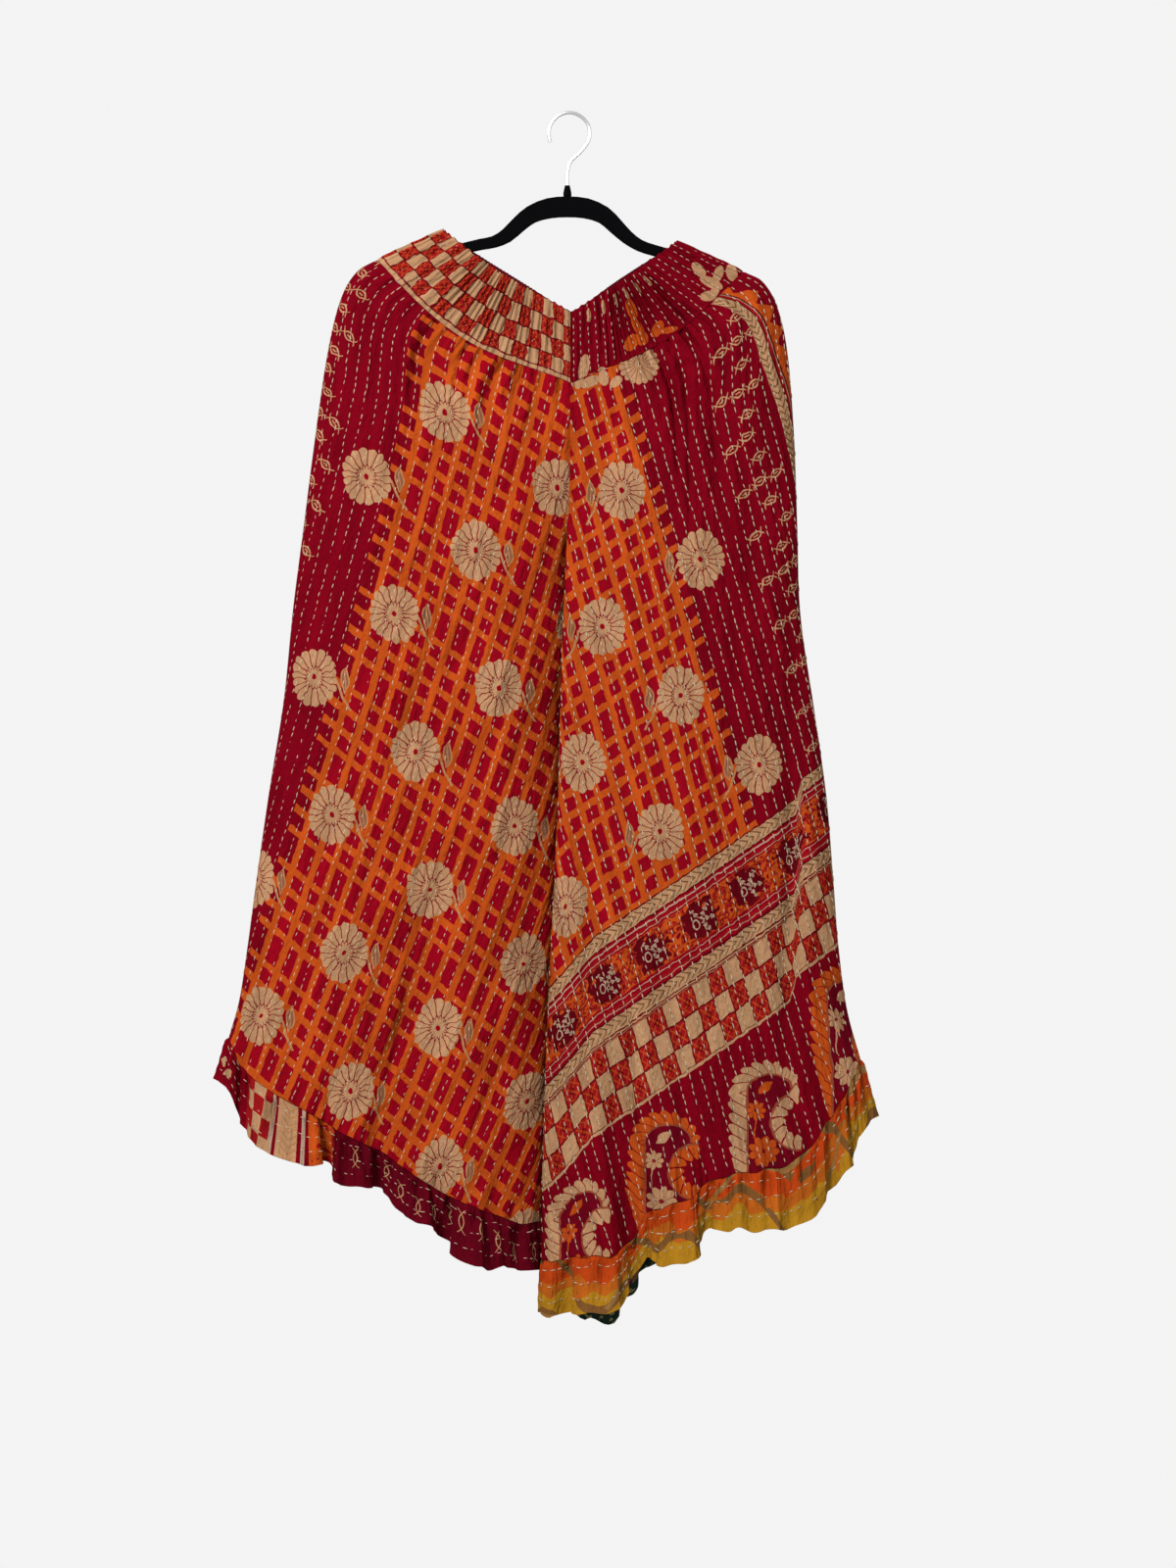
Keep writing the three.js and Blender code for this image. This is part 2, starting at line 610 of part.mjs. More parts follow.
function piece(name, geometry, color, roughness, metalness) {
  const material = new THREE.MeshStandardMaterial({ color, roughness, metalness });
  const mesh = new THREE.Mesh(geometry, material);
  mesh.name = name;
  return mesh;
}

const { frontRight, frontLeft, backRight, backLeft } = QUARTERS;
const pants = new THREE.Group();
pants.add(piece('waistband_right', waistband(frontRight, backRight), 0xb8402c, 0.9, 0));
pants.add(piece('waistband_left', waistband(frontLeft, backLeft), 0x98142c, 0.9, 0));
pants.add(piece('front_right', legPanel(frontRight, FRONT_ROWS), 0xc04a24, 0.9, 0));
pants.add(piece('front_left', legPanel(frontLeft, FRONT_ROWS), 0xa8202c, 0.9, 0));
pants.add(piece('back_right', legPanel(backRight, BACK_ROWS), 0xa01830, 0.9, 0));
pants.add(piece('back_left', legPanel(backLeft, BACK_ROWS), 0xa01830, 0.9, 0));
pants.add(piece('ruffle_right', ruffle(frontRight, backRight), 0x8a1830, 0.9, 0));
pants.add(piece('ruffle_left', ruffle(frontLeft, backLeft), 0xd08a24, 0.9, 0));

const hanger = new THREE.Group();
hanger.add(piece('hanger_body', hangerBody(), 0x0c0c0e, 0.95, 0));
hanger.add(piece('hanger_ferrule', ferrule(), 0x101012, 0.6, 0));
hanger.add(piece('hanger_hook', hook(), 0xb8bcc0, 0.25, 1));

const garment = new THREE.Group();
garment.add(pants);
garment.add(hanger);

export default garment;
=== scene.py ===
# Looks of the ruffled capri pants on their hanger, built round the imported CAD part.
# Lengths in the cloth's tables are in millimetres, as in the part; what is placed is in metres.

import math

import bpy
import mathutils
import numpy as np
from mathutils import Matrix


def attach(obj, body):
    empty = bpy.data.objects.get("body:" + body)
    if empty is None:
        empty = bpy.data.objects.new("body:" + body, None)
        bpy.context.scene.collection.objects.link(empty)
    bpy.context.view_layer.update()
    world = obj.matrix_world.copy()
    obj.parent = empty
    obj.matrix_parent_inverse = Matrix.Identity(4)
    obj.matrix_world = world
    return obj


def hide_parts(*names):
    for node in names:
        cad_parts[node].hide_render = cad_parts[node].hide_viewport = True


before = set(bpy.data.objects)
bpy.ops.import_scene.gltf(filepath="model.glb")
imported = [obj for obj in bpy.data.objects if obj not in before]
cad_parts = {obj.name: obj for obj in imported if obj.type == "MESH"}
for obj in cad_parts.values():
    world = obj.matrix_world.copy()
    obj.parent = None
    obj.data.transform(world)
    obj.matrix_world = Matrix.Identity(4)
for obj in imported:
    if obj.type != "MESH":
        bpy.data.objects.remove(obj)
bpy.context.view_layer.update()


# Front panel of the right leg, on the viewer's left. Two layers of recycled sari cotton quilted
# with long rows of running stitch, cut wide, gathered into the waistband above and the ruffle below.

def table(names, rows):
    """A table with named columns, each one an array."""
    return dict(zip(names.split(), np.array(rows, float).T))


def placed(name, data):
    """A new object in the scene, for a mesh, a lamp or a camera."""
    thing = bpy.data.objects.new(name, data)
    bpy.context.scene.collection.objects.link(thing)
    return thing


# one row for each level: the crease's and the side's edge, how far the cloth sags between them and
# stands out, and open, 1 where both legs share one hollow and 0 where each is a tube of its own
SECTION_COLUMNS = "crease_x crease_z side_x side_z sag deep open"
RIGHT_SECTIONS = table(SECTION_COLUMNS, [
    (2, -193, -122, -112, 6, 14, 1),
    (2, -262, -186, -141, 24, 17, 1),
    (2, -288, -209, -156, 22, 20, 0.97),
    (2, -321, -224, -186, 18, 22, 0.88),
    (1, -373, -236, -240, 14, 24, 0.65),
    (-2, -440, -248, -324, 12, 25, 0.25),
    (-5, -506, -258, -402, 12, 26, 0),
    (-7, -573, -268, -480, 12, 26, 0),
    (-9, -649, -277, -568, 12, 27, 0),
    (-12.5, -734, -291, -656, 12, 28, 0),
    (-17, -825, -303, -739, 13, 29, 0),
    (-21, -915, -312, -806, 15, 30, 0),
    (-24, -996, -320, -858, 18, 31, 0),
    (-26.5, -1074, -330, -894, 22, 32, 0),
])
# places at both ends as shares of the way from crease to side, the section rows of both ends, the
# height, and the width as a share too
FOLD_COLUMNS = "top foot start end rise wide"
RIGHT_FRONT_FOLDS = table(FOLD_COLUMNS, [
    (0.92, 0.92, 3.2, 7.8, -5, 0.05),
    (0.83, 0.79, 2.4, 4.8, -4, 0.035),
    (0.3, 0.22, 4.5, 13.5, 5, 0.13),
    (0.39, 0.52, 8.8, 14, -8, 0.07),
    (0.62, 0.7, 5, 13.5, 5, 0.12),
])
RIGHT_FRONT_CREASES = table(FOLD_COLUMNS, [
    (0.34, 0.38, 0.4, 3.8, -4.0, 0.014),
    (0.38, 0.42, 0.4, 3.4, 2.4, 0.016),
    (0.45, 0.46, 0.4, 2.8, -2.8, 0.011),
    (0.52, 0.5, 0.4, 3.4, -3.6, 0.013),
    (0.68, 0.66, 0.4, 4.2, -4.4, 0.016),
    (0.72, 0.7, 0.6, 3.6, 2.6, 0.016),
    (0.24, 0.26, 0.4, 3.0, -2.6, 0.012),
    (0.12, 0.14, 2.4, 5.6, -1.5, 0.02),
    (0.86, 0.9, 3.4, 7.8, -1.6, 0.02),
    (0.79, 0.72, 1.2, 4.4, 1.4, 0.016),
    (0.03, 0.1, 7.6, 13.4, -2.6, 0.03),
    (0.17, 0.2, 9.2, 13.2, -1.5, 0.02),
    (0.44, 0.56, 9.6, 13.6, -2.4, 0.014),
    (0.52, 0.61, 10.8, 13.6, 1.6, 0.016),
    (0.78, 0.85, 10.4, 13.4, -1.6, 0.016),
    (0.72, 0.93, 4.6, 6.0, -1.0, 0.018),
    (0.9, 0.96, 8.6, 11, 1.2, 0.015),
])
# along the hem: the share of the way to the side, how far the seam dips, how far the ruffle hangs
# below it and how far it waves out
HEM_COLUMNS = "at dip drop out"
RIGHT_HEM = table(HEM_COLUMNS, [
    (0, 0, 47, 0),
    (0.076, 12, 43, 6),
    (0.12, 14, 46, -4),
    (0.19, 18, 54, 12),
    (0.266, 22, 55, 3),
    (0.31, 24, 43, -8),
    (0.38, 23, 40, 10),
    (0.449, 22, 41, 3),
    (0.506, 20, 35, -9),
    (0.585, 22, 43, 9),
    (0.64, 24, 49, 2),
    (0.68, 23, 37, -9),
    (0.744, 23, 50, 10),
    (0.839, 25, 54, 13),
    (0.91, 24, 55, 5),
    (0.96, 19, 52, -4),
    (0.987, 6, 40, 3),
    (1, 0, 41, 12),
])
# as for folds, with the print's shift in periods of the grain, and still, 1 if the print keeps its
# place towards the side and 0 if it keeps it towards the crease
JOG_COLUMNS = "top foot start end shift wide still"
NO_JOGS = table(JOG_COLUMNS, np.zeros((0, 7)))
SEAM_GAP = 0.35
SLANT_GAP = 0.65
# the turned edge at the crease ends at the first share of the way round, and the one at the side
# starts at the second; each is EDGE_TURN times as wide as deep, but at most EDGE_SHARE of the width
CENTRE_ZONE = 0.18
SIDE_ZONE = 0.78
EDGE_SHARE = 0.42
EDGE_TURN = 3
HEM_ROW = 13
LEG_WALL = 1.8
# the print's columns and its periods along the grain, in metres on the flat map
COLUMN_PITCH = 0.058
GRAIN_PERIOD = 0.1995
QUILT_RIDGES = 5
# rows of the sections down to which the band's gathers and the finer ones reach, and down to which
# the gathers pull the print's columns out of line
GATHERS_END = 3.4
FINE_GATHERS_END = 2.4
PULL_END = 4.6


def smooth(low, high, value):
    """A soft step from 0 to 1 as the value goes from low to high."""
    share = np.clip((value - low) / (high - low), 0, 1)
    return share * share * (3 - 2 * share)


def mix(low, high, share):
    """The value at a share of the way from low to high."""
    return low + (high - low) * share


def along(column, row):
    """A column of a section table, read smoothly at row numbers between its rows."""
    i = np.clip(np.floor(row).astype(int), 0, len(column) - 2)
    f = row - i
    ends = np.concatenate([[2 * column[0] - column[1]], column, [2 * column[-1] - column[-2]]])
    a, b, c, d = (ends[i + k] for k in range(4))
    return b + 0.5 * f * (c - a + f * (2 * a - 5 * b + 4 * c - d + f * (3 * (b - c) + d - a)))


def at_share(rows, name, at):
    """A column of a hem table, read smoothly at a share of the way from crease to side."""
    places = rows["at"]
    i = np.clip(np.searchsorted(places, at) - 1, 0, len(places) - 2)
    return mix(rows[name][i], rows[name][i + 1], smooth(places[i], places[i + 1], at))


def relief(folds, at, v):
    """Height of folds or creases, each a soft ridge or trough that runs down the cloth."""
    rise = np.zeros(np.broadcast(at, v).shape)
    for k in range(len(folds["top"])):
        f = (v - folds["start"][k]) / (folds["end"][k] - folds["start"][k])
        off = (at - mix(folds["top"][k], folds["foot"][k], f)) / folds["wide"][k]
        swell = np.sin(np.pi * np.clip(f, 0, 1)) ** 0.7
        rise += folds["rise"][k] * swell * np.exp(-off * off)
    return rise


def across(t, open_, rounding):
    """Share of the way to the side, and share of the depth, at t of a section."""
    turn = np.clip(t / CENTRE_ZONE, 0, 1) * np.pi / 2
    near = rounding * (open_ * t / CENTRE_ZONE + (1 - open_) * (1 - np.cos(turn)))
    back = np.clip((t - SIDE_ZONE) / (1 - SIDE_ZONE), 0, 1) * np.pi / 2
    far = 1 - rounding * (1 - np.sin(back))
    middle = mix(rounding, 1 - rounding, (t - CENTRE_ZONE) / (SIDE_ZONE - CENTRE_ZONE))
    at = np.where(t < CENTRE_ZONE, near, np.where(t > SIDE_ZONE, far, middle))
    full = np.where(t < CENTRE_ZONE, open_ + (1 - open_) * np.sin(turn), np.cos(back))
    return at, full


def cloth(quarter, t, v):
    """Points of the smooth cloth: t runs from the crease, 0, to the side, 1, and v down the rows."""
    t, v = np.broadcast_arrays(np.asarray(t, float), np.asarray(v, float))
    rows = quarter["sections"]
    open_ = np.clip(along(rows["open"], v), 0, 1)
    centre_x = along(rows["crease_x"], v) + quarter["side"] * (SEAM_GAP / 2 + 0.5 * (1 - open_))
    centre_z = along(rows["crease_z"], v)
    side_x = along(rows["side_x"], v)
    side_z = along(rows["side_z"], v)
    deep = along(rows["deep"], v)
    length = np.hypot(side_x - centre_x, side_z - centre_z)
    at, full = across(t, open_, np.minimum(EDGE_SHARE, EDGE_TURN * deep / length))
    hang = along(rows["sag"], v) * np.sin(np.pi * at ** 1.25)
    dip = mix(hang, at_share(quarter["hem"], "dip", at), smooth(HEM_ROW - 2.6, HEM_ROW, v))
    lift = (6 if quarter["out"] > 0 else 0) * np.sin(np.pi * at) * (1 - smooth(1, 4, v))
    wave = at_share(quarter["hem"], "out", at) * 0.35 * smooth(HEM_ROW - 1.2, HEM_ROW, v)
    folds = relief(quarter["folds"], at, v) + wave
    depth = full * (deep * (1 + 0.1 * np.sin(np.pi * at)) + full * folds) + SEAM_GAP / 2
    return np.stack([
        mix(centre_x, side_x, at),
        quarter["out"] * depth,
        mix(centre_z, side_z, at) - dip + lift,
    ], axis=-1)


def unit(vectors):
    """The same directions, each with a length of 1."""
    return vectors / np.maximum(np.linalg.norm(vectors, axis=-1, keepdims=True), 1e-9)


def outward(quarter, t, v):
    """Outward directions of the smooth cloth."""
    t, v = np.broadcast_arrays(np.asarray(t, float), np.asarray(v, float))
    step = 0.004
    along_t = cloth(quarter, np.minimum(t + step, 1), v) - cloth(quarter, np.maximum(t - step, 0), v)
    lower = cloth(quarter, t, np.minimum(v + 10 * step, HEM_ROW))
    upper = cloth(quarter, t, np.maximum(v - 10 * step, 0))
    normal = unit(np.cross(along_t, lower - upper) * quarter["side"] * quarter["out"])
    open_ = np.clip(along(quarter["sections"]["open"], v), 0, 1)
    normal[..., 0] *= np.where(t == 0, 1 - open_, 1)
    normal[..., 1] *= np.where(t == 1, 0, 1)
    normal[..., 2] *= np.where(v == HEM_ROW, 0, 1)
    return unit(normal)


def section_shares(quarter, t, v):
    """What across gives for the rows of one quarter of the garment."""
    rows = quarter["sections"]
    length = np.hypot(along(rows["side_x"], v) - along(rows["crease_x"], v),
                      along(rows["side_z"], v) - along(rows["crease_z"], v))
    open_ = np.clip(along(rows["open"], v), 0, 1)
    return across(t, open_, np.minimum(EDGE_SHARE, EDGE_TURN * along(rows["deep"], v) / length))


def lapped(quarter, at, open_):
    """How far a panel's centre edge laps over the other leg's, as the folds by the crease do."""
    near = smooth(0.13, 0, at)[..., None]
    if quarter["side"] > 0:
        tube, seam = (-2.6, -8, 0), (-1.3, 2.6 * quarter["out"], 0)
    else:
        tube, seam = (1.6, 8, 0), (0, 0, 0)
    closed = (1 - open_)[..., None]
    edge = smooth(0.02, 0, at)[..., None]
    return near * closed * np.array(tube) + edge * (1 - closed) * np.array(seam)


def rolled_out(quarter, points, t, v):
    """Where the cloth's points would lie in the picture plane if its turned edges were opened flat."""
    flat = points[..., [0, 2]]
    real = np.linalg.norm(np.diff(points, axis=1), axis=-1)
    plan = np.linalg.norm(np.diff(flat, axis=1), axis=-1)
    middle = (t[:, 1:] + t[:, :-1]) / 2
    extra = np.maximum(real - plan, 0)
    to_side = np.cumsum(np.where(middle > SIDE_ZONE, extra, 0), axis=1)
    to_crease = np.cumsum(np.where(middle < CENTRE_ZONE, extra, 0)[:, ::-1], axis=1)[:, ::-1]
    shift = np.zeros(t.shape)
    shift[:, 1:] += to_side
    shift[:, :-1] -= to_crease
    chord = unit(flat[:, -1:] - flat[:, :1])
    return flat + shift[..., None] * chord


def wall(name, outer, inner, uv, ring=False):
    """A closed wall between two grids of points in mm, with the cloth's own flat map in metres."""
    rows, cols = outer.shape[:2]
    r, c = np.meshgrid(np.arange(rows - 1), np.arange(cols if ring else cols - 1), indexing="ij")
    r, c = r.ravel(), c.ravel()
    wide = uv.shape[1]

    def corners(*places):
        """Faces from corner places, as numbers of points and numbers of marks on the flat map."""
        cells = [(sheet * rows + row) * cols + col % cols for sheet, row, col in places]
        marks = [row * wide + col for sheet, row, col in places]
        return np.stack(cells, axis=-1), np.stack(marks, axis=-1)

    one = np.arange(cols if ring else cols - 1)
    last = rows - 1 + 0 * one
    first = 0 * one
    parts = [
        corners((0, r, c), (0, r + 1, c), (0, r + 1, c + 1), (0, r, c + 1)),
        corners((1, r, c), (1, r, c + 1), (1, r + 1, c + 1), (1, r + 1, c)),
        corners((0, first, one), (0, first, one + 1), (1, first, one + 1), (1, first, one)),
        corners((0, last, one + 1), (0, last, one), (1, last, one), (1, last, one + 1)),
    ]
    if not ring:
        down = np.arange(rows - 1)
        left, right = 0 * down, cols - 1 + 0 * down
        parts.append(corners((0, down + 1, left), (0, down, left), (1, down, left), (1, down + 1, left)))
        parts.append(corners((0, down, right), (0, down + 1, right), (1, down + 1, right), (1, down, right)))
    faces = np.concatenate([cells for cells, marks in parts])
    marks = np.concatenate([marks for cells, marks in parts])
    inside = np.zeros(len(faces), np.int32)
    inside[len(r):2 * len(r)] = 1
    points = np.concatenate([outer.reshape(-1, 3), inner.reshape(-1, 3)]) / 1000
    a, b, d = points[faces[:, 0]], points[faces[:, 1]], points[faces[:, 2]]
    e = points[faces[:, 3]]
    volume = np.einsum("ij,ij->", a, np.cross(b, d)) + np.einsum("ij,ij->", a, np.cross(d, e))
    if volume < 0:
        faces, marks = faces[:, ::-1], marks[:, ::-1]
    mesh = bpy.data.meshes.new(name)
    mesh.from_pydata(points.tolist(), [], faces.tolist())
    layer = mesh.uv_layers.new(name="cloth")
    layer.data.foreach_set("uv", uv.reshape(-1, 2)[marks.ravel()].astype(np.float32).ravel())
    mesh.polygons.foreach_set("material_index", inside)
    mesh.polygons.foreach_set("use_smooth", np.ones(len(faces), bool))
    mesh.set_sharp_from_angle(angle=math.radians(60))
    return placed(name, mesh)


FRONT_RIGHT = {"side": -1, "out": -1, "sections": RIGHT_SECTIONS,
               "folds": RIGHT_FRONT_FOLDS, "hem": RIGHT_HEM}


def right_print_map(x, z):
    """Column across the print and place along its grain, for picture-plane metres."""
    a = 1.033 + 15.552 * x - 2.173 * z - 1.535 * x * z + 2.793 * z * z
    b = -1.697 - 2.826 * x - 4.773 * z + 0.391 * x * z - 0.539 * z * z
    return a, b


def leg_panel(name, quarter, creases, jogs, print_map, columns, rows, gathers):
    """A leg panel with its gathers, folds, creases and quilted ridges, and its flat map. A jog is
    a tuck beside which the print stands a little further along the grain."""
    t = np.linspace(0, 1, columns + 1)[None, :]
    v = np.linspace(1, HEM_ROW, rows + 1)[:, None]
    t, v = np.broadcast_arrays(t, v)
    points = cloth(quarter, t, v)
    normal = outward(quarter, t, v)
    at, full = section_shares(quarter, t, v)
    flat = rolled_out(quarter, points, t, v) / 1000
    a, b = print_map(flat[..., 0], flat[..., 1])
    for k in range(len(jogs["top"])):
        f = (v - jogs["start"][k]) / (jogs["end"][k] - jogs["start"][k])
        fold_at = mix(jogs["top"][k], jogs["foot"][k], f)
        deep = np.sin(np.pi * np.clip(f, 0, 1)) ** 0.5
        turned = smooth(-jogs["wide"][k], jogs["wide"][k], at - fold_at)
        b = b + jogs["shift"][k] * deep * (turned - jogs["still"][k])
    pull = smooth(PULL_END, FINE_GATHERS_END, v) * smooth(0.35, 0.85, at)
    row_below = np.argmin(np.abs(v[:, 0] - PULL_END))
    a = mix(a, a[row_below][None, :], pull)
    inside = smooth(0, 0.08, t) * smooth(1, 0.93, t)
    swing = np.sin(2 * np.pi * (gathers * t + 0.25 * np.sin(7 * t) + 0.25))
    fade = 1 - smooth(1, GATHERS_END, v)
    rise = (1.3 + 1.7 * swing) * fade * inside
    fine = np.sin(2 * np.pi * (2.7 * gathers * t + 0.4 * np.sin(9 * t + 1)))
    rise = rise + 0.9 * fine * (1 - smooth(1, FINE_GATHERS_END, v)) * inside
    hem = np.sin(2 * np.pi * (3.1 * gathers * t + 0.5 * np.sin(13 * t)))
    rise = rise + 0.8 * hem * smooth(HEM_ROW - 0.9, HEM_ROW, v) * inside
    rise = rise + relief(creases, at, v) * np.minimum(full, 1) ** 2
    quilt = 0.5 * (np.abs(np.sin(np.pi * (QUILT_RIDGES * a + 0.5))) ** 0.7 - 0.5)
    slack = 0.5 * np.sin(47 * b + 9 * np.sin(5 * a)) * np.sin(11 * a + 4 * b)
    rise = rise + (quilt + slack) * inside * smooth(1, 1.5, v) * smooth(HEM_ROW, HEM_ROW - 0.4, v)
    base = points + lapped(quarter, at, np.clip(along(quarter["sections"]["open"], v), 0, 1))
    base[0, :, 2] -= SLANT_GAP
    outer = base + normal * rise[..., None]
    inner = base + normal * (rise * smooth(0, 0.05, t) * smooth(1, 0.96, t) - LEG_WALL)[..., None]
    uv = np.stack([a * COLUMN_PITCH, b * GRAIN_PERIOD], axis=-1)
    return wall(name, outer, inner, uv), outer, uv


front_right, outer_fr, uv_fr = leg_panel(
    "pants_front_right", FRONT_RIGHT, RIGHT_FRONT_CREASES, NO_JOGS, right_print_map, 150, 200, 11)


class Term:
    """A number in a shader tree. Its sums, products and comparisons add Math nodes."""

    def __init__(self, tree, socket):
        self.tree = tree
        self.socket = socket

    def math(self, operation, *values):
        """One Math node of this operation on the number and the values."""
        node = self.tree.nodes.new("ShaderNodeMath")
        node.operation = operation
        for slot, value in zip(node.inputs, (self, *values)):
            if isinstance(value, Term):
                self.tree.links.new(value.socket, slot)
            else:
                slot.default_value = value
        return Term(self.tree, node.outputs[0])

    def __add__(self, other):
        return self.math("ADD", other)

    def __sub__(self, other):
        return self.math("SUBTRACT", other)

    def __mul__(self, other):
        return self.math("MULTIPLY", other)

    def __truediv__(self, other):
        return self.math("DIVIDE", other)

    def __rsub__(self, other):
        return (self * -1) + other

    def __abs__(self):
        return self.math("ABSOLUTE")

    def __lt__(self, other):
        return self.math("LESS_THAN", other)

    def __gt__(self, other):
        return self.math("GREATER_THAN", other)

    def __and__(self, other):
        return self.math("MULTIPLY", other)

    def __or__(self, other):
        return self.math("MAXIMUM", other)

    def between(self, low, high):
        """1 from low to high, and 0 elsewhere."""
        middle = (low + high) * 0.5
        return abs(self - middle) < (high - low) * 0.5

    def beside(self, other):
        """Distance from the origin of a point with these two coordinates."""
        return (self * self + other * other).math("SQRT")

    def repeat(self, period):
        """Signed distance to the nearest multiple of the period."""
        return self - (self / period).math("ROUND") * period


# share of its colour in the picture that a cloth is given, because the lamps brighten it again
STUDIO = 0.22


def ink(red, green, blue):
    """A linear colour from the red, green and blue that the eye matches on the lit cloth."""
    shares = [level / 255 for level in (red, green, blue)]
    return [STUDIO * (s / 12.92 if s <= 0.04045 else ((s + 0.055) / 1.055) ** 2.4) for s in shares] + [1]


CRIMSON = ink(154, 4, 30)
CELL = ink(184, 8, 34)
ORANGE = ink(236, 98, 32)
BEIGE = ink(232, 175, 128)
LINE_RED = ink(160, 40, 46)
LEAF_ROSE = ink(176, 112, 84)
PALE_BEIGE = ink(224, 158, 104)


class Cloth:
    """A cotton material. Its print is painted in layers over a ground colour."""

    def __init__(self, name, ground, roughness=0.86):
        self.material = bpy.data.materials.new(name)
        self.material.use_nodes = True
        self.tree = self.material.node_tree
        self.shader = self.tree.nodes["Principled BSDF"]
        self.shader.inputs["Roughness"].default_value = roughness
        self.shader.inputs["Specular IOR Level"].default_value = 0.01
        self.ground = ground
        self.colour = None
        flat_map = self.tree.nodes.new("ShaderNodeUVMap")
        flat_map.uv_map = "cloth"
        self.flat_map = flat_map.outputs["UV"]
        split = self.tree.nodes.new("ShaderNodeSeparateXYZ")
        self.tree.links.new(self.flat_map, split.inputs[0])
        self.u = Term(self.tree, split.outputs[0])
        self.v = Term(self.tree, split.outputs[1])
        place = self.tree.nodes.new("ShaderNodeTexCoord")
        spot = self.tree.nodes.new("ShaderNodeSeparateXYZ")
        self.tree.links.new(place.outputs["Object"], spot.inputs[0])
        self.x = Term(self.tree, spot.outputs[0])
        self.z = Term(self.tree, spot.outputs[2])

    def noise(self, scale, detail=2.0, stretch=(1, 1, 1)):
        """Soft noise on the flat map, about 0.5."""
        scaled = self.tree.nodes.new("ShaderNodeMapping")
        scaled.inputs["Scale"].default_value = stretch
        self.tree.links.new(self.flat_map, scaled.inputs["Vector"])
        node = self.tree.nodes.new("ShaderNodeTexNoise")
        node.inputs["Scale"].default_value = scale
        node.inputs["Detail"].default_value = detail
        self.tree.links.new(scaled.outputs[0], node.inputs["Vector"])
        return Term(self.tree, node.outputs[0])

    def chance(self, first, second):
        """One random number for each pair of whole numbers."""
        pair = self.tree.nodes.new("ShaderNodeCombineXYZ")
        self.tree.links.new(first.socket, pair.inputs[0])
        self.tree.links.new(second.socket, pair.inputs[1])
        node = self.tree.nodes.new("ShaderNodeTexWhiteNoise")
        self.tree.links.new(pair.outputs[0], node.inputs["Vector"])
        return Term(self.tree, node.outputs["Value"])

    def steps(self, place, low, high, stops):
        """Bands of plain colour along a number, each row of stops a start and a colour."""
        ramp = self.tree.nodes.new("ShaderNodeValToRGB")
        ramp.color_ramp.interpolation = "CONSTANT"
        points = ramp.color_ramp.elements
        while len(points) > 1:
            points.remove(points[-1])
        for k, (start, colour) in enumerate(stops):
            share = min(1.0, max(0.0, (start - low) / (high - low)))
            point = points[0] if k == 0 else points.new(share)
            point.position = share
            point.color = colour
        self.tree.links.new(((place - low) * (1 / (high - low))).socket, ramp.inputs[0])
        return ramp.outputs[0]

    def paint(self, colour, where):
        """Lays a colour, plain or from another node, over the print wherever the mask is 1."""
        node = self.tree.nodes.new("ShaderNodeMix")
        node.data_type = "RGBA"
        self.tree.links.new(where.socket, node.inputs["Factor"])
        under, over, result = node.inputs[6], node.inputs[7], node.outputs[2]
        if self.colour is None:
            under.default_value = self.ground
        else:
            self.tree.links.new(self.colour, under)
        if isinstance(colour, (list, tuple)):
            over.default_value = colour
        else:
            self.tree.links.new(colour, over)
        self.colour = result

    def finish(self, wear=0.14, relief_mm=6.0, crumple=(62, 13, 1)):
        """Washed-out patches over the print, and painted shade along the folds, darker in their hollows
        and lighter on their ridges; then weave, folds and small wrinkles as bumps. The crumple is how
        often its wrinkles come in a metre, along the flat map's two directions."""
        patchy = self.noise(14, 3)
        folds = self.noise(1, 2, crumple)
        patches_and_fold_shade = self.tree.nodes.new("ShaderNodeHueSaturation")
        patches_and_fold_shade.inputs["Saturation"].default_value = 1.0
        # painted shade: the folds' noise darkens the colour in their hollows and lightens it on their ridges
        value = patchy * (wear * 2) + folds * 0.9 + (0.57 - wear)
        self.tree.links.new(value.socket, patches_and_fold_shade.inputs["Value"])
        if self.colour is None:
            patches_and_fold_shade.inputs["Color"].default_value = self.ground
        else:
            self.tree.links.new(self.colour, patches_and_fold_shade.inputs["Color"])
        self.tree.links.new(patches_and_fold_shade.outputs[0], self.shader.inputs["Base Color"])
        wrinkles = self.noise(1, 3, (300, 150, 1))
        weave = self.noise(900, 1)
        bump = self.tree.nodes.new("ShaderNodeBump")
        bump.inputs["Distance"].default_value = relief_mm / 1000
        bump.inputs["Strength"].default_value = 0.9
        self.tree.links.new((wrinkles * 0.4 + folds * 1.5 + weave * 0.06).socket, bump.inputs["Height"])
        self.tree.links.new(bump.outputs[0], self.shader.inputs["Normal"])
        return self.material


# millimetres across for one column and for one period of the grain, then millimetres up for both
RIGHT_TILT = (46.94, -64.3, -36.12, -193.48)
LATTICE_PAIR = 0.6667
LATTICE_GROUP = 0.449
SQUARE_CELL = 0.068
TALL_CELL = 0.145


def in_plane(da, db, tilt):
    """Millimetres across and up in the picture plane for a small move over the print."""
    return da * tilt[0] + db * tilt[1], da * tilt[2] + db * tilt[3]


def lattice(cloth_, a, b, region, stubs):
    """Charted lattice: squares and tall cells of crimson between orange bars, which run a little
    past the last upright. Wide and narrow cells take turns across, and one tall row and three
    rows of squares make a group along the grain."""
    pair = ((a - 0.155 + 0.1667) / LATTICE_PAIR).math("FRACT")
    wide_cell = abs(pair - 0.75) < 0.178
    narrow_cell = abs(pair - 0.25) < 0.146
    row = ((b - 0.015) / LATTICE_GROUP + 0.5).math("FRACT")
    tall = abs(row - 0.5) < TALL_CELL
    lower = abs(row - 0.782) < SQUARE_CELL
    upper = abs(row - 0.218) < SQUARE_CELL
    middle = abs(row - 0.5) > 0.5 - SQUARE_CELL
    in_row = tall | lower | upper | middle
    cell = (wide_cell | narrow_cell) & in_row
    cloth_.paint(ORANGE, region | (stubs & (1 - in_row)))
    cloth_.paint(CELL, region & cell)


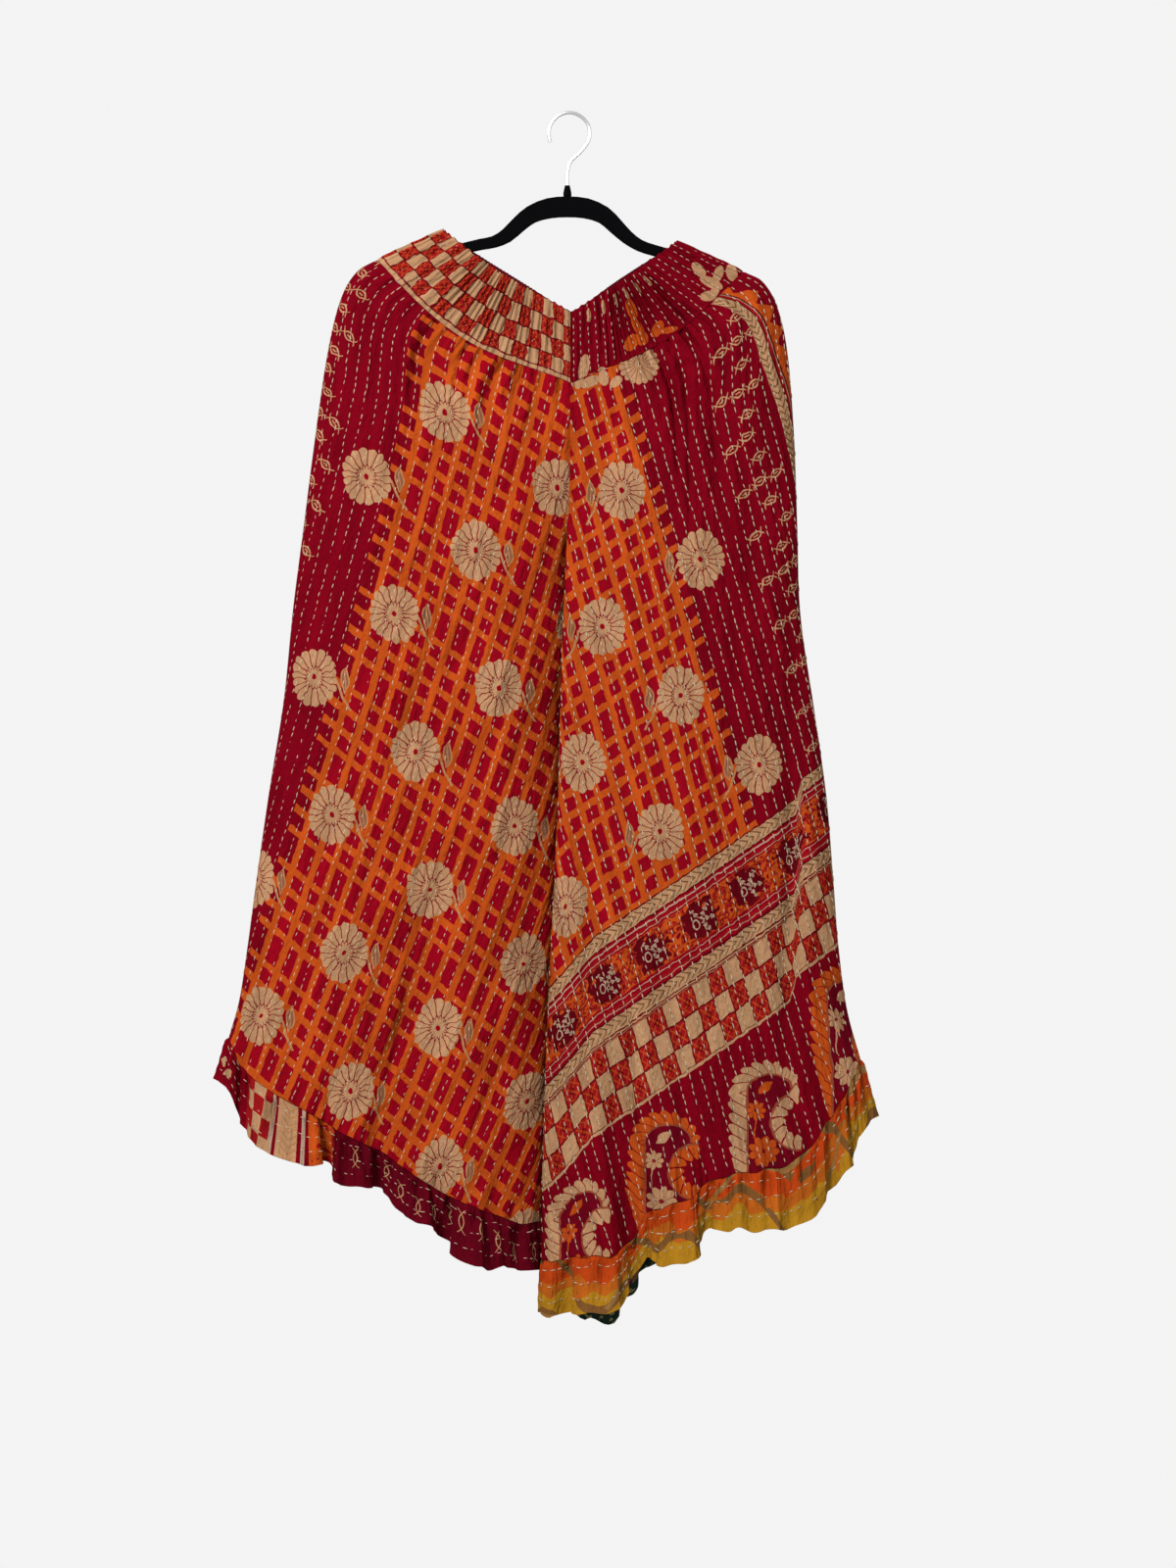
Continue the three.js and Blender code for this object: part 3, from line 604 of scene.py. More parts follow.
DAISY_RADIUS = 24.2
DAISY_PETALS = 18
DAISY_TOP = -0.33


def daisies(cloth_, a, b, last_column, below, tilt, side):
    """Round flowers of eighteen petals in half-drop rows, each with a stem and an outlined leaf."""
    region = (a * side > last_column - 0.5) & b.between(DAISY_TOP, below)
    column = a.math("ROUND")
    drop = (column * 0.5).math("FRACT")
    da = a - column
    db = (b - drop).repeat(1.0)
    x, z = in_plane(da, db, tilt)
    r = (x * 1.16).beside(z * 0.93)
    turn = z.math("ARCTAN2", x)
    petal = abs((turn * (DAISY_PETALS / 2) + (r * 0.7).math("SINE") * 0.12).math("SINE"))
    edge = petal * 2.6 + (turn * 4 + column * 2.1).math("SINE") * 0.9 + DAISY_RADIUS
    head = (r < edge) & region
    stem_column = (a - 0.55 * side).math("ROUND")
    stem_drop = (stem_column * 0.5).math("FRACT")
    sx, sz = in_plane(a - stem_column, (b - stem_drop).repeat(1.0), tilt)
    sx = sx * side
    bend = sx - 16 - abs(sz) * 0.55
    bend = bend - (sz + 20).math("MAXIMUM", 0) * 0.25
    stem = (abs(bend) < 1.15) & sz.between(-33, -4)
    lx, lz = sx - 30, sz + 3
    lean = lx - lz * 0.2 + (lz * 0.2).math("SINE") * 1.6
    leaf = abs(lean) - ((lz * lz) * (-4.4 / 170) + 4.4)
    outline = abs(leaf + 0.7) < 0.7
    inner = (leaf < -1.4) & (abs(lean) > 0.5)
    own = (stem_column * side > last_column - 0.5) & b.between(DAISY_TOP, below)
    cloth_.paint(LEAF_ROSE, inner & own)
    cloth_.paint(PALE_BEIGE, (stem | outline | (abs(lean) < 0.5) & (leaf < -2)) & own)
    cloth_.paint(BEIGE, head)
    lines = (petal * r < 4.2) & (r > 10)
    burst = abs((turn * (DAISY_PETALS / 2)).math("COSINE")) * 3.4 + 7.4
    ring = abs(r - burst) < 0.95
    heart = r < 2.5
    cloth_.paint(LINE_RED, (lines | ring) & head)
    cloth_.paint(CELL, heart & head)


FISH_TOP = -0.29
FISH_ROW = 0.1068
FISH_COLUMN = 0.33


def fish(cloth_, a, b, first, region, tilt, lean):
    """Small outlined lens shapes with forked ends, three in a row and then one alone."""
    row = ((b - FISH_TOP) / FISH_ROW).math("ROUND")
    alone = (row * 0.5).math("FRACT") > 0.25
    offset = a - first - alone * 0.1
    column = (offset / FISH_COLUMN).math("ROUND")
    luck = cloth_.chance(column, row)
    present = (abs(column) < (1.5 - alone)) & (luck > 0.1)
    da = offset - column * FISH_COLUMN
    db = b - FISH_TOP - row * FISH_ROW + (luck - 0.5) * 0.02
    x, z = in_plane(da, db, tilt)
    c, s = math.cos(math.radians(lean)), math.sin(math.radians(lean))
    length = abs(x * c + z * s)
    width = abs(z * c - x * s)
    curve = abs((length * length) * (-3.3 / 42) + 3.3)
    body = (abs(width - curve) < 0.82) & (length < 9.6)
    dash = (width < 0.6) & (length < 2.6)
    cloth_.paint(BEIGE, (body | dash) & present & region)


def print_places(skin, shift_a, shift_b):
    """Column and place along the grain on a leg's flat map, a little uneven as on old cloth."""
    wobble = skin.noise(130, 1) - 0.5
    a = skin.u / COLUMN_PITCH + wobble * 0.05 + shift_a
    b = skin.v / GRAIN_PERIOD + wobble * 0.02 + shift_b
    return a, b


def leg_print_right(name, shift_a=0.0, shift_b=0.0):
    """Print of the right leg: crimson ground, lattice from the middle inwards, daisies and fish."""
    skin = Cloth(name, CRIMSON)
    a, b = print_places(skin, shift_a, shift_b)
    lattice(skin, a, b, a > -0.415, a > -0.66)
    fish(skin, a, b, -2.05, b < 1.13, RIGHT_TILT, -56)
    daisies(skin, a, b, -1, 9, RIGHT_TILT, 1)
    return skin


front_right.data.materials.append(leg_print_right("cotton_lattice_right").finish())
lining = Cloth("cotton_inside", ink(112, 16, 30)).finish()
front_right.data.materials.append(lining)
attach(front_right, "root")
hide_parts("front_right")


# Running stitches of thick cream thread, which hold the quilt's layers together in long rows.
# One tree lays them over the flat map of a cloth, row beside row, each with its own small error.

THREAD_LIFT = 0.0002
THREAD_REACH = 0.0025
SEWN_SHARE = 0.95


def add_node(tree, kind, settings=None, links=None):
    """A node with its settings, and a link or a value for each named or numbered socket."""
    node = tree.nodes.new(kind)
    for key, value in (settings or {}).items():
        setattr(node, key, value)
    for key, value in (links or {}).items():
        if isinstance(value, bpy.types.NodeSocket):
            tree.links.new(value, node.inputs[key])
        else:
            node.inputs[key].default_value = value
    return node


def stitch_tree():
    """The tree that lays stitches over a cloth with a map of its rows, and joins them."""
    tree = bpy.data.node_groups.new("running_stitch", "GeometryNodeTree")
    tree.interface.new_socket("Geometry", in_out="INPUT", socket_type="NodeSocketGeometry")
    for label in ("Low across", "Low along", "Row pitch", "Stitch pitch", "Length", "Width"):
        tree.interface.new_socket(label, in_out="INPUT", socket_type="NodeSocketFloat")
    for label in ("Rows", "Stitches", "Seed"):
        tree.interface.new_socket(label, in_out="INPUT", socket_type="NodeSocketInt")
    tree.interface.new_socket("Thread", in_out="INPUT", socket_type="NodeSocketMaterial")
    tree.interface.new_socket("Geometry", in_out="OUTPUT", socket_type="NodeSocketGeometry")
    given = tree.nodes.new("NodeGroupInput").outputs

    def number(operation, *values):
        """One Math node's result."""
        links = dict(enumerate(values))
        return add_node(tree, "ShaderNodeMath", {"operation": operation}, links).outputs[0]

    def chance(low, high, shift, place=None):
        """A random number for each stitch, or for each place that is named."""
        seed = number("ADD", given["Seed"], shift)
        links = {2: low, 3: high, "Seed": seed}
        if place is not None:
            links["ID"] = place
        return add_node(tree, "FunctionNodeRandomValue", {"data_type": "FLOAT"}, links).outputs[1]

    index = tree.nodes.new("GeometryNodeInputIndex").outputs[0]
    row = number("FLOOR", number("DIVIDE", index, given["Stitches"]))
    place = number("SUBTRACT", index, number("MULTIPLY", row, given["Stitches"]))
    slip = number("ADD", chance(-0.14, 0.14, 1.0), chance(0, 1, 2.0, row))
    u = number("MULTIPLY_ADD", number("ADD", row, chance(-0.05, 0.05, 3.0)),
               given["Row pitch"], given["Low across"])
    v = number("MULTIPLY_ADD", number("ADD", place, slip), given["Stitch pitch"], given["Low along"])
    spot = add_node(tree, "ShaderNodeCombineXYZ", None, {0: u, 1: v}).outputs[0]
    count = number("MULTIPLY", given["Rows"], given["Stitches"])
    points = add_node(tree, "GeometryNodePoints", None, {"Count": count, "Position": spot})
    kept = add_node(tree, "GeometryNodeStoreNamedAttribute", {"data_type": "FLOAT_VECTOR"}, {
        "Geometry": points.outputs[0],
        "Name": "spot",
        "Value": tree.nodes.new("GeometryNodeInputPosition").outputs[0],
    })
    rows_map = add_node(tree, "GeometryNodeInputNamedAttribute",
                        {"data_type": "FLOAT_VECTOR"}, {"Name": "rows"}).outputs[0]
    here = add_node(tree, "GeometryNodeInputNamedAttribute",
                    {"data_type": "FLOAT_VECTOR"}, {"Name": "spot"}).outputs[0]

    def on_cloth(value, where):
        """A value of the cloth at a place of its map, and whether the place is on the cloth."""
        links = {"Mesh": given["Geometry"], "Value": value, "Source UV Map": rows_map,
                 "Sample UV": where}
        node = add_node(tree, "GeometryNodeSampleUVSurface", {"data_type": "FLOAT_VECTOR"}, links)
        return node.outputs["Value"], node.outputs["Is Valid"]

    def vector(operation, first, second):
        """One Vector Math node's result."""
        return add_node(tree, "ShaderNodeVectorMath", {"operation": operation},
                        {0: first, 1: second}).outputs[0]

    position = tree.nodes.new("GeometryNodeInputPosition").outputs[0]
    normal = tree.nodes.new("GeometryNodeInputNormal").outputs[0]
    middle, sound = on_cloth(position, here)
    ahead, sound_ahead = on_cloth(position, vector("ADD", here, (0, THREAD_REACH, 0)))
    behind, sound_behind = on_cloth(position, vector("SUBTRACT", here, (0, THREAD_REACH, 0)))
    upward, _ = on_cloth(normal, here)
    whole = number("MULTIPLY", number("MULTIPLY", sound, sound_ahead), sound_behind)
    missed = number("GREATER_THAN", chance(0, 1, 4.0), SEWN_SHARE)
    gone = number("MAXIMUM", number("SUBTRACT", 1.0, whole), missed)
    left = add_node(tree, "GeometryNodeDeleteGeometry", {"domain": "POINT"},
                    {"Geometry": kept.outputs[0], "Selection": gone}).outputs[0]
    lifted = add_node(tree, "ShaderNodeVectorMath", {"operation": "SCALE"},
                      {0: upward, "Scale": THREAD_LIFT}).outputs[0]
    turn = add_node(tree, "FunctionNodeAxesToRotation",
                    {"primary_axis": "Z", "secondary_axis": "X"},
                    {0: upward, 1: vector("SUBTRACT", ahead, behind)}).outputs[0]
    yaw = add_node(tree, "ShaderNodeCombineXYZ", None, {2: chance(-0.13, 0.13, 5.0)}).outputs[0]
    turned = add_node(tree, "FunctionNodeRotateRotation", {"rotation_space": "LOCAL"},
                      {0: turn, 1: yaw}).outputs[0]
    # the turn is read where the points still lie, so it's kept before they move
    facing = add_node(tree, "GeometryNodeStoreNamedAttribute", {"data_type": "QUATERNION"},
                      {"Geometry": left, "Name": "facing", "Value": turned}).outputs[0]
    moved = add_node(tree, "GeometryNodeSetPosition", None,
                     {"Geometry": facing, "Position": vector("ADD", middle, lifted)}).outputs[0]
    grain = add_node(tree, "GeometryNodeMeshIcoSphere", None, {"Radius": 0.5, "Subdivisions": 1})
    size = add_node(tree, "ShaderNodeCombineXYZ", None, {
        0: number("MULTIPLY", given["Length"], chance(0.75, 1.2, 6.0)),
        1: number("MULTIPLY", given["Width"], chance(0.8, 1.2, 7.0)),
        2: number("MULTIPLY", given["Width"], 0.75),
    }).outputs[0]
    way = add_node(tree, "GeometryNodeInputNamedAttribute",
                   {"data_type": "QUATERNION"}, {"Name": "facing"}).outputs[0]
    laid = add_node(tree, "GeometryNodeInstanceOnPoints", None, {
        "Points": moved, "Instance": grain.outputs[0], "Rotation": way, "Scale": size})
    real = add_node(tree, "GeometryNodeRealizeInstances", None, {0: laid.outputs[0]})
    soft = add_node(tree, "GeometryNodeSetShadeSmooth", None, {0: real.outputs[0]})
    painted = add_node(tree, "GeometryNodeSetMaterial", None,
                       {"Geometry": soft.outputs[0], "Material": given["Thread"]})
    end = tree.nodes.new("NodeGroupOutput")
    tree.links.new(painted.outputs[0], end.inputs[0])
    return tree


def plain_finish(name, colour, roughness, settings=None):
    """A material of one colour."""
    material = bpy.data.materials.new(name)
    material.use_nodes = True
    shader = material.node_tree.nodes["Principled BSDF"]
    shader.inputs["Base Color"].default_value = colour
    shader.inputs["Roughness"].default_value = roughness
    for label, value in (settings or {}).items():
        shader.inputs[label].default_value = value
    return material


running_stitch = stitch_tree()
thread = plain_finish("cream_thread", ink(255, 226, 184), 0.7)


def stitches(name, outer, rows_uv, seed, row_pitch=0.0116, pitch=0.0074, length=0.0064,
             width=0.0011, first_row=None, rows=None):
    """Rows of stitches over a cloth's outer points, laid by the tree and then made real."""
    n_rows, n_cols = outer.shape[:2]
    r, c = np.meshgrid(np.arange(n_rows - 1), np.arange(n_cols - 1), indexing="ij")
    r, c = r.ravel(), c.ravel()
    faces = np.stack([r * n_cols + c, (r + 1) * n_cols + c,
                      (r + 1) * n_cols + c + 1, r * n_cols + c + 1], axis=-1)
    mesh = bpy.data.meshes.new(name + "_guide")
    mesh.from_pydata((outer.reshape(-1, 3) / 1000).tolist(), [], faces.tolist())
    layer = mesh.uv_layers.new(name="rows")
    layer.data.foreach_set("uv", rows_uv.reshape(-1, 2)[faces.ravel()].astype(np.float32).ravel())
    guide = placed(name + "_guide", mesh)
    modifier = guide.modifiers.new("stitch", "NODES")
    modifier.node_group = running_stitch
    low, high = rows_uv.reshape(-1, 2).min(axis=0), rows_uv.reshape(-1, 2).max(axis=0)
    if first_row is None:
        first_row = (math.floor(low[0] / row_pitch) + 0.5) * row_pitch
        rows = int((high[0] - first_row) / row_pitch) + 1
    values = {
        "Low across": float(first_row),
        "Low along": float(low[1]),
        "Row pitch": row_pitch,
        "Stitch pitch": pitch,
        "Length": length,
        "Width": width,
        "Rows": rows,
        "Stitches": int((high[1] - low[1]) / pitch) + 1,
        "Seed": seed,
        "Thread": thread,
    }
    for item in running_stitch.interface.items_tree:
        if item.item_type == "SOCKET" and item.in_out == "INPUT" and item.name in values:
            modifier[item.identifier] = values[item.name]
    view = guide.evaluated_get(bpy.context.evaluated_depsgraph_get())
    made = bpy.data.meshes.new_from_object(view)
    guide.modifiers.remove(modifier)
    bpy.data.objects.remove(guide)
    bpy.data.meshes.remove(mesh)
    made.name = name
    piece = placed(name, made)
    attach(piece, "root")


stitches("stitches_front_right", outer_fr, uv_fr, 11)


# Front panel of the left leg, on the viewer's right. Its quilt is pieced from another length of
# sari: lattice, then woven-look borders, a checked strip and large mango shapes above the hem.

LEFT_SECTIONS = table(SECTION_COLUMNS, [
    (2, -193, 104, -123, 3, 14, 1),
    (2, -262, 168, -152, 19, 17, 1),
    (2, -288, 189, -164, 19, 20, 0.97),
    (2, -321, 203, -191, 17, 22, 0.88),
    (1, -373, 212, -236, 14, 24, 0.65),
    (-2, -440, 218, -316, 12, 25, 0.25),
    (-5, -506, 221, -402, 12, 26, 0),
    (-7, -573, 224, -485, 12, 26, 0),
    (-9, -649, 237, -575, 13, 27, 0),
    (-12.5, -734, 249, -660, 15, 28, 0),
    (-17, -825, 256, -744, 18, 29, 0),
    (-21, -915, 261, -808, 22, 30, 0),
    (-24, -1010, 269, -867, 28, 31, 0),
    (-25.5, -1109, 282, -915, 34, 33, 0),
])
LEFT_FRONT_FOLDS = table(FOLD_COLUMNS, [
    (0.6, 0.71, 3, 5.8, -5, 0.05),
    (0.745, 0.83, 4.5, 7, -5, 0.045),
    (0.91, 0.8, 7.3, 12.6, -8, 0.045),
    (0.14, 0.31, 8.6, 14, -9, 0.05),
    (0.45, 0.55, 5, 13.5, 6, 0.13),
])
LEFT_FRONT_CREASES = table(FOLD_COLUMNS, [
    (0.2, 0.22, 0.4, 3.4, -3.8, 0.013),
    (0.25, 0.27, 0.4, 3.0, 2.2, 0.014),
    (0.3, 0.33, 0.4, 3.6, -3.4, 0.014),
    (0.4, 0.43, 0.4, 3.0, -2.4, 0.01),
    (0.46, 0.49, 0.4, 4.8, -5.2, 0.014),
    (0.5, 0.53, 0.5, 4.4, 3.0, 0.016),
    (0.56, 0.53, 0.4, 5.6, -3.4, 0.014),
    (0.63, 0.66, 0.4, 4.6, -4.8, 0.016),
    (0.68, 0.71, 0.5, 4.0, 2.6, 0.016),
    (0.1, 0.16, 8.2, 14, -6.5, 0.02),
    (0.16, 0.22, 8.6, 14, 3.4, 0.024),
    (0.25, 0.29, 9, 14, -6, 0.018),
    (0.33, 0.36, 9.6, 14, 2.6, 0.02),
    (0.46, 0.42, 11, 14, -3.4, 0.018),
    (0.72, 0.78, 1, 3.6, 1.6, 0.02),
    (0.56, 0.7, 2.2, 3.2, -1.8, 0.03),
    (0.04, 0.12, 7.4, 13.4, -3, 0.03),
    (0.2, 0.36, 9.4, 13.6, -2.6, 0.014),
    (0.3, 0.42, 10.8, 13.6, -1.6, 0.016),
    (0.66, 0.72, 10.6, 13.4, -1.8, 0.018),
    (0.9, 0.78, 7.8, 12.2, -2.4, 0.012),
    (0.5, 0.58, 11.4, 13.5, 1.5, 0.02),
])
LEFT_JOGS = table(JOG_COLUMNS, [
    (0.93, 0.8, 7.9, 12.4, 0.095, 0.012, 0),
    (0.07, 0.11, 8.6, 15, 0.09, 0.08, 1),
])
LEFT_HEM = table(HEM_COLUMNS, [
    (0, 0, 50, 0),
    (0.037, 7, 53, 6),
    (0.08, 12, 52, -4),
    (0.142, 22, 53, 10),
    (0.219, 35, 51, 11),
    (0.275, 33, 37, -5),
    (0.325, 15, 43, -10),
    (0.389, 20, 55, 11),
    (0.462, 27, 59, 9),
    (0.512, 22, 45, -10),
    (0.59, 29, 51, 8),
    (0.682, 43, 55, 12),
    (0.759, 54, 58, 9),
    (0.836, 52, 66, 3),
    (0.898, 37, 67, -4),
    (0.944, 25, 66, 8),
    (0.98, 11, 58, 4),
    (1, 0, 56, 14),
])
FRONT_LEFT = {"side": 1, "out": -1, "sections": LEFT_SECTIONS,
              "folds": LEFT_FRONT_FOLDS, "hem": LEFT_HEM}


def left_print_map(x, z):
    """Column across the print and place along its grain, as on the right leg."""
    a = 0.958 + 17.648 * x + 5.047 * z
    b = -1.697 + 2.886 * x - 4.235 * z
    return a, b


front_left, outer_fl, uv_fl = leg_panel(
    "pants_front_left", FRONT_LEFT, LEFT_FRONT_CREASES, LEFT_JOGS, left_print_map, 150, 200, 12)

LEFT_TILT = (47.42, 56.51, 32.31, -197.61)
DEEP_RED = ink(120, 8, 24)
CHECK_RED = ink(190, 28, 34)
STAR = ink(222, 84, 36)
PALE = ink(226, 190, 160)
TWIST = ink(150, 104, 66)
DEEP_CRIMSON = ink(138, 8, 34)
ROSE = ink(186, 92, 62)


def borders(cloth_, a, b):
    """Woven-look strips along the cloth's length: braid, lines, flowers, lines, braid and checks."""
    strip = b.between(1.741, 2.56)
    cloth_.paint(cloth_.steps(b, 1.7, 2.6, [
        (1.7, CRIMSON),
        (1.741, DEEP_RED),
        (1.749, BEIGE),
        (1.806, DEEP_RED),
        (1.814, CELL),
        (1.826, PALE),
        (1.832, CELL),
        (1.845, CHECK_RED),
        (1.856, PALE),
        (1.861, CELL),
        (1.872, ORANGE),
        (2.055, CELL),
        (2.066, PALE),
        (2.072, CELL),
        (2.085, CHECK_RED),
        (2.098, PALE),
        (2.103, CELL),
        (2.118, DEEP_RED),
        (2.126, BEIGE),
        (2.186, DEEP_RED),
        (2.194, BEIGE),
        (2.2, CRIMSON),
        (2.208, BEIGE),
        (2.545, BEIGE),
        (2.556, CRIMSON),
    ]), strip)
    braid = abs(b - 1.778).math("MINIMUM", abs(b - 2.156))
    twist = (a * 7.5 + braid * 40).math("FRACT")
    cloth_.paint(TWIST, (braid < 0.025) & (twist < 0.3))
    middle = b - 1.9635
    flowers = b.between(1.874, 2.053)
    curls = cloth_.noise(118, 1.5)
    cloth_.paint(CHECK_RED, flowers & curls.between(0.5, 0.56))
    cloth_.paint(CRIMSON, flowers & (curls.between(0.575, 0.64) | (curls < 0.36)))
    x, z = in_plane((a - 0.2).repeat(0.97), middle, LEFT_TILT)
    patch = x.beside(z * 0.86) + (curls - 0.5) * 26
    medal = flowers & (patch < 16)
    cloth_.paint(DEEP_RED, medal)
    eye = abs(((x + 3) * 1.5).beside(z + 5) - 4.2) < 0.8
    sprays = eye
    for lean, near, far in ((70, 1, 17), (18, 3, 14), (-42, 2, 13), (140, 3, 12)):
        c, s = math.cos(math.radians(lean)), math.sin(math.radians(lean))
        run = (x - 1) * c + z * s
        off = abs(z * c - (x - 1) * s)
        leafy = abs((run * 0.62 + off * 0.5).math("SINE")) * 3.6 - 1.2
        blade = (off < leafy) & (off > 0.5) | (off < 0.3)
        sprays = sprays | (blade & run.between(near, far))
    cloth_.paint(PALE, medal & sprays)
    checks(cloth_, a, (b - 2.212) / 0.111, 0.305, b.between(2.212, 2.545))


def checks(cloth_, across_, down, step, region):
    """Chequered squares, red ones with a four-petalled star and beige ones plain."""
    column = (across_ / step).math("FLOOR")
    row = down.math("FLOOR")
    odd = ((column + row) * 0.5).math("FRACT") > 0.25
    x = abs((across_ / step).math("FRACT") - 0.5)
    y = abs(down.math("FRACT") - 0.5)
    cloth_.paint(CHECK_RED, region & odd)
    star = (abs(x - y) < 0.055) | (abs(x + y - 0.47) < 0.035)
    heart = (x + y).between(0.1, 0.19)
    cloth_.paint(STAR, region & odd & (star & ((x + y) < 0.8)))
    cloth_.paint(DEEP_RED, region & (odd & heart | (x > 0.468) | (y > 0.468)))


MANGO_START = 1.464
MANGO_PAIR = 3.84
MANGO_INSIDE = 23.5
MANGO_OUTSIDE = 35.2
MANGO_PETAL = 10.8


def mangoes(cloth_, a, b, region):
    """Large mango shapes edged with petals, each with a leaf and two flowers, in two colours."""
    pair = ((a - MANGO_START) / MANGO_PAIR + 0.25).math("FLOOR")
    inner = a - MANGO_START - pair * MANGO_PAIR
    first = inner < 1.0
    second = 1 - first
    da = inner - second * 1.976
    db = b - 2.786 - second * 0.08
    x, z = in_plane(da, db, LEFT_TILT)
    top = z.math("MAXIMUM", 0)
    spine = x.beside(top * 1.28)
    thin = (x + 2).math("MAXIMUM", 0) * 0.3
    angle = top.math("ARCTAN2", x * -1)
    run = angle * 31 + (z * -1).math("MAXIMUM", 0)
    slant = run + (spine - 30) * 0.55
    notch = abs((slant * (math.pi / MANGO_PETAL)).math("SINE"))
    outside = notch * 5.4 + MANGO_OUTSIDE - thin
    arch = spine.between(MANGO_INSIDE, 46) & (spine < outside) & ((z > 0) | (x < 0))
    slits = arch & (notch * 5 > 0.75)
    line = abs(spine - 22.4) < 0.95
    line = line & ((z > 0) | (x < 0))
    cx, cz = x - 27, z + 28
    curl_r = cx.beside(cz)
    curl_angle = cz.math("ARCTAN2", cx * -1)
    curl_notch = abs((curl_angle * 6 + curl_r * 0.09).math("SINE"))
    curl_zone = (cx < 3) & (x > -20)
    curl = curl_zone & (curl_r < 26) & (curl_r > 16.5 - curl_notch * 4.5) & (curl_notch > 0.2)
    curl_line = curl_zone & (abs(curl_r - 26.9) < 0.95)
    body = region & (((spine < 23) & (curl_r > 26.9)) & (z > -75))
    cloth_.paint(DEEP_CRIMSON, body & (x < 22))
    leaf_x, leaf_z = x + 5, z - 5
    long = leaf_x * 0.77 + leaf_z * 0.64
    short = leaf_z * 0.77 - leaf_x * 0.64
    leaf = abs(short) < ((long * long) * (-4.4 / 81) + 4.4)
    small_x, small_z = x + 14, z + 17
    small = small_x.beside(small_z)
    star = abs((small_z.math("ARCTAN2", small_x) * 4).math("COSINE"))
    flower = small < star * 3.6 + 6
    big_x, big_z = x + 6.5, z + 56
    big = big_x.beside(big_z)
    star2 = abs((big_z.math("ARCTAN2", big_x) * 4.5).math("COSINE"))
    bloom = big < star2 * 4.5 + 10.5
    stalk = (abs(x + 13 - z * 0.06) < 0.6) & z.between(-44, -24)
    other = (leaf | flower | bloom | stalk) & body
    veins = ((star < 0.16) & flower) | ((star2 < 0.12) & bloom)
    hearts = (small < 1.7) | (big < 2.2) | veins
    own = (slits | curl) & region
    cloth_.paint(BEIGE, own & second)
    cloth_.paint(ORANGE, own & first)
    cloth_.paint(BEIGE, other & first)
    cloth_.paint(ORANGE, other & second)
    cloth_.paint(LINE_RED, hearts & other)
    cloth_.paint(ROSE, (line | curl_line) & region)


def leg_print_left(name, shift_a=0.0, shift_b=0.0):
    """Print of the left leg: lattice, daisies and fish, an edge strip, borders and mangoes."""
    skin = Cloth(name, CRIMSON)
    a, b = print_places(skin, shift_a, shift_b)
    above = b < 1.745
    lattice(skin, a - 0.1, b, (a < 0.469) & above, (a < 0.68) & above)
    fish(skin, a, b, 2.4, b.between(-0.44, 1.72), LEFT_TILT, 38)
    daisies(skin, a, b, -1, 1.74, LEFT_TILT, -1)
    lean = ((0.12 - b) * (1 / 0.61)).math("MAXIMUM", 0).math("POWER", 1.7)
    edge_a = a + lean * 0.7
    edge = edge_a > 3.08
    skin.paint(skin.steps(edge_a, 3.0, 4.0, [
        (3.0, CRIMSON),
        (3.08, LINE_RED),
        (3.09, BEIGE),
        (3.3, DEEP_RED),
        (3.33, CHECK_RED),
        (3.38, PALE),
        (3.395, DEEP_RED),
        (3.43, ORANGE),
    ]), edge & above)
    chevron = (b * 30 + abs(edge_a - 3.195) * 9).math("FRACT")
    skin.paint(TWIST, edge_a.between(3.1, 3.29) & (chevron < 0.3) & above)
    teeth = abs((b * 9).math("FRACT") - 0.5)
    skin.paint(CRIMSON, (edge_a > teeth * 0.5 + 3.52) & above)
    borders(skin, a, b)
    # the one nearest the middle stands a little higher in its row
    raised = ((-3.2 - a) * 0.3).math("MAXIMUM", 0).math("MINIMUM", 0.07)
    mangoes(skin, a, b + raised, b > 2.57)
    return skin


def petal(cloth_, x, z, long, wide, lean):
    """A leaf or petal shape; its centre is given as seen from the front, in millimetres."""
    dx = cloth_.x * 1000 - x
    dz = cloth_.z * 1000 - z
    c, s = math.cos(math.radians(lean)), math.sin(math.radians(lean))
    return ((dx * c + dz * s) * (1 / long)).beside((dz * c - dx * s) * (1 / wide)) < 1


def spray(cloth_, colour, petals):
    """Loose petals of one colour, each with its centre, its two half lengths and its lean."""
    for petal_values in petals:
        cloth_.paint(colour, petal(cloth_, *petal_values))


def fan(cloth_, x, z, radius, count):
    """A flower seen from the side or front, a disc of narrow petals."""
    dx = cloth_.x * 1000 - x
    dz = cloth_.z * 1000 - z
    r = dx.beside(dz)
    ripple = abs((dz.math("ARCTAN2", dx) * (count / 2)).math("SINE"))
    disc = r < ripple * 2.4 + (radius - 2.4)
    cloth_.paint(BEIGE, disc)
    cloth_.paint(LINE_RED, disc & (((ripple * r < 2.2) & (r > 4)) | (r < 1.6)))


border_left = leg_print_left("cotton_border_left")
fan(border_left, 67, -244, 20, 18)
spray(border_left, BEIGE, [
    (9, -255, 13, 5, 85),
    (20, -261, 10, 5, 25),
    (33, -257, 8, 5, 100),
    (45, -261, 7, 4.5, 40),
])
front_left.data.materials.append(border_left.finish())
front_left.data.materials.append(lining)
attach(front_left, "root")
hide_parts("front_left")
stitches("stitches_front_left", outer_fl, uv_fl, 12)


# Back panels of both legs, which the photo hides. They are cut like the front ones and carry the
# same prints, laid differently, with plain soft folds of their own.

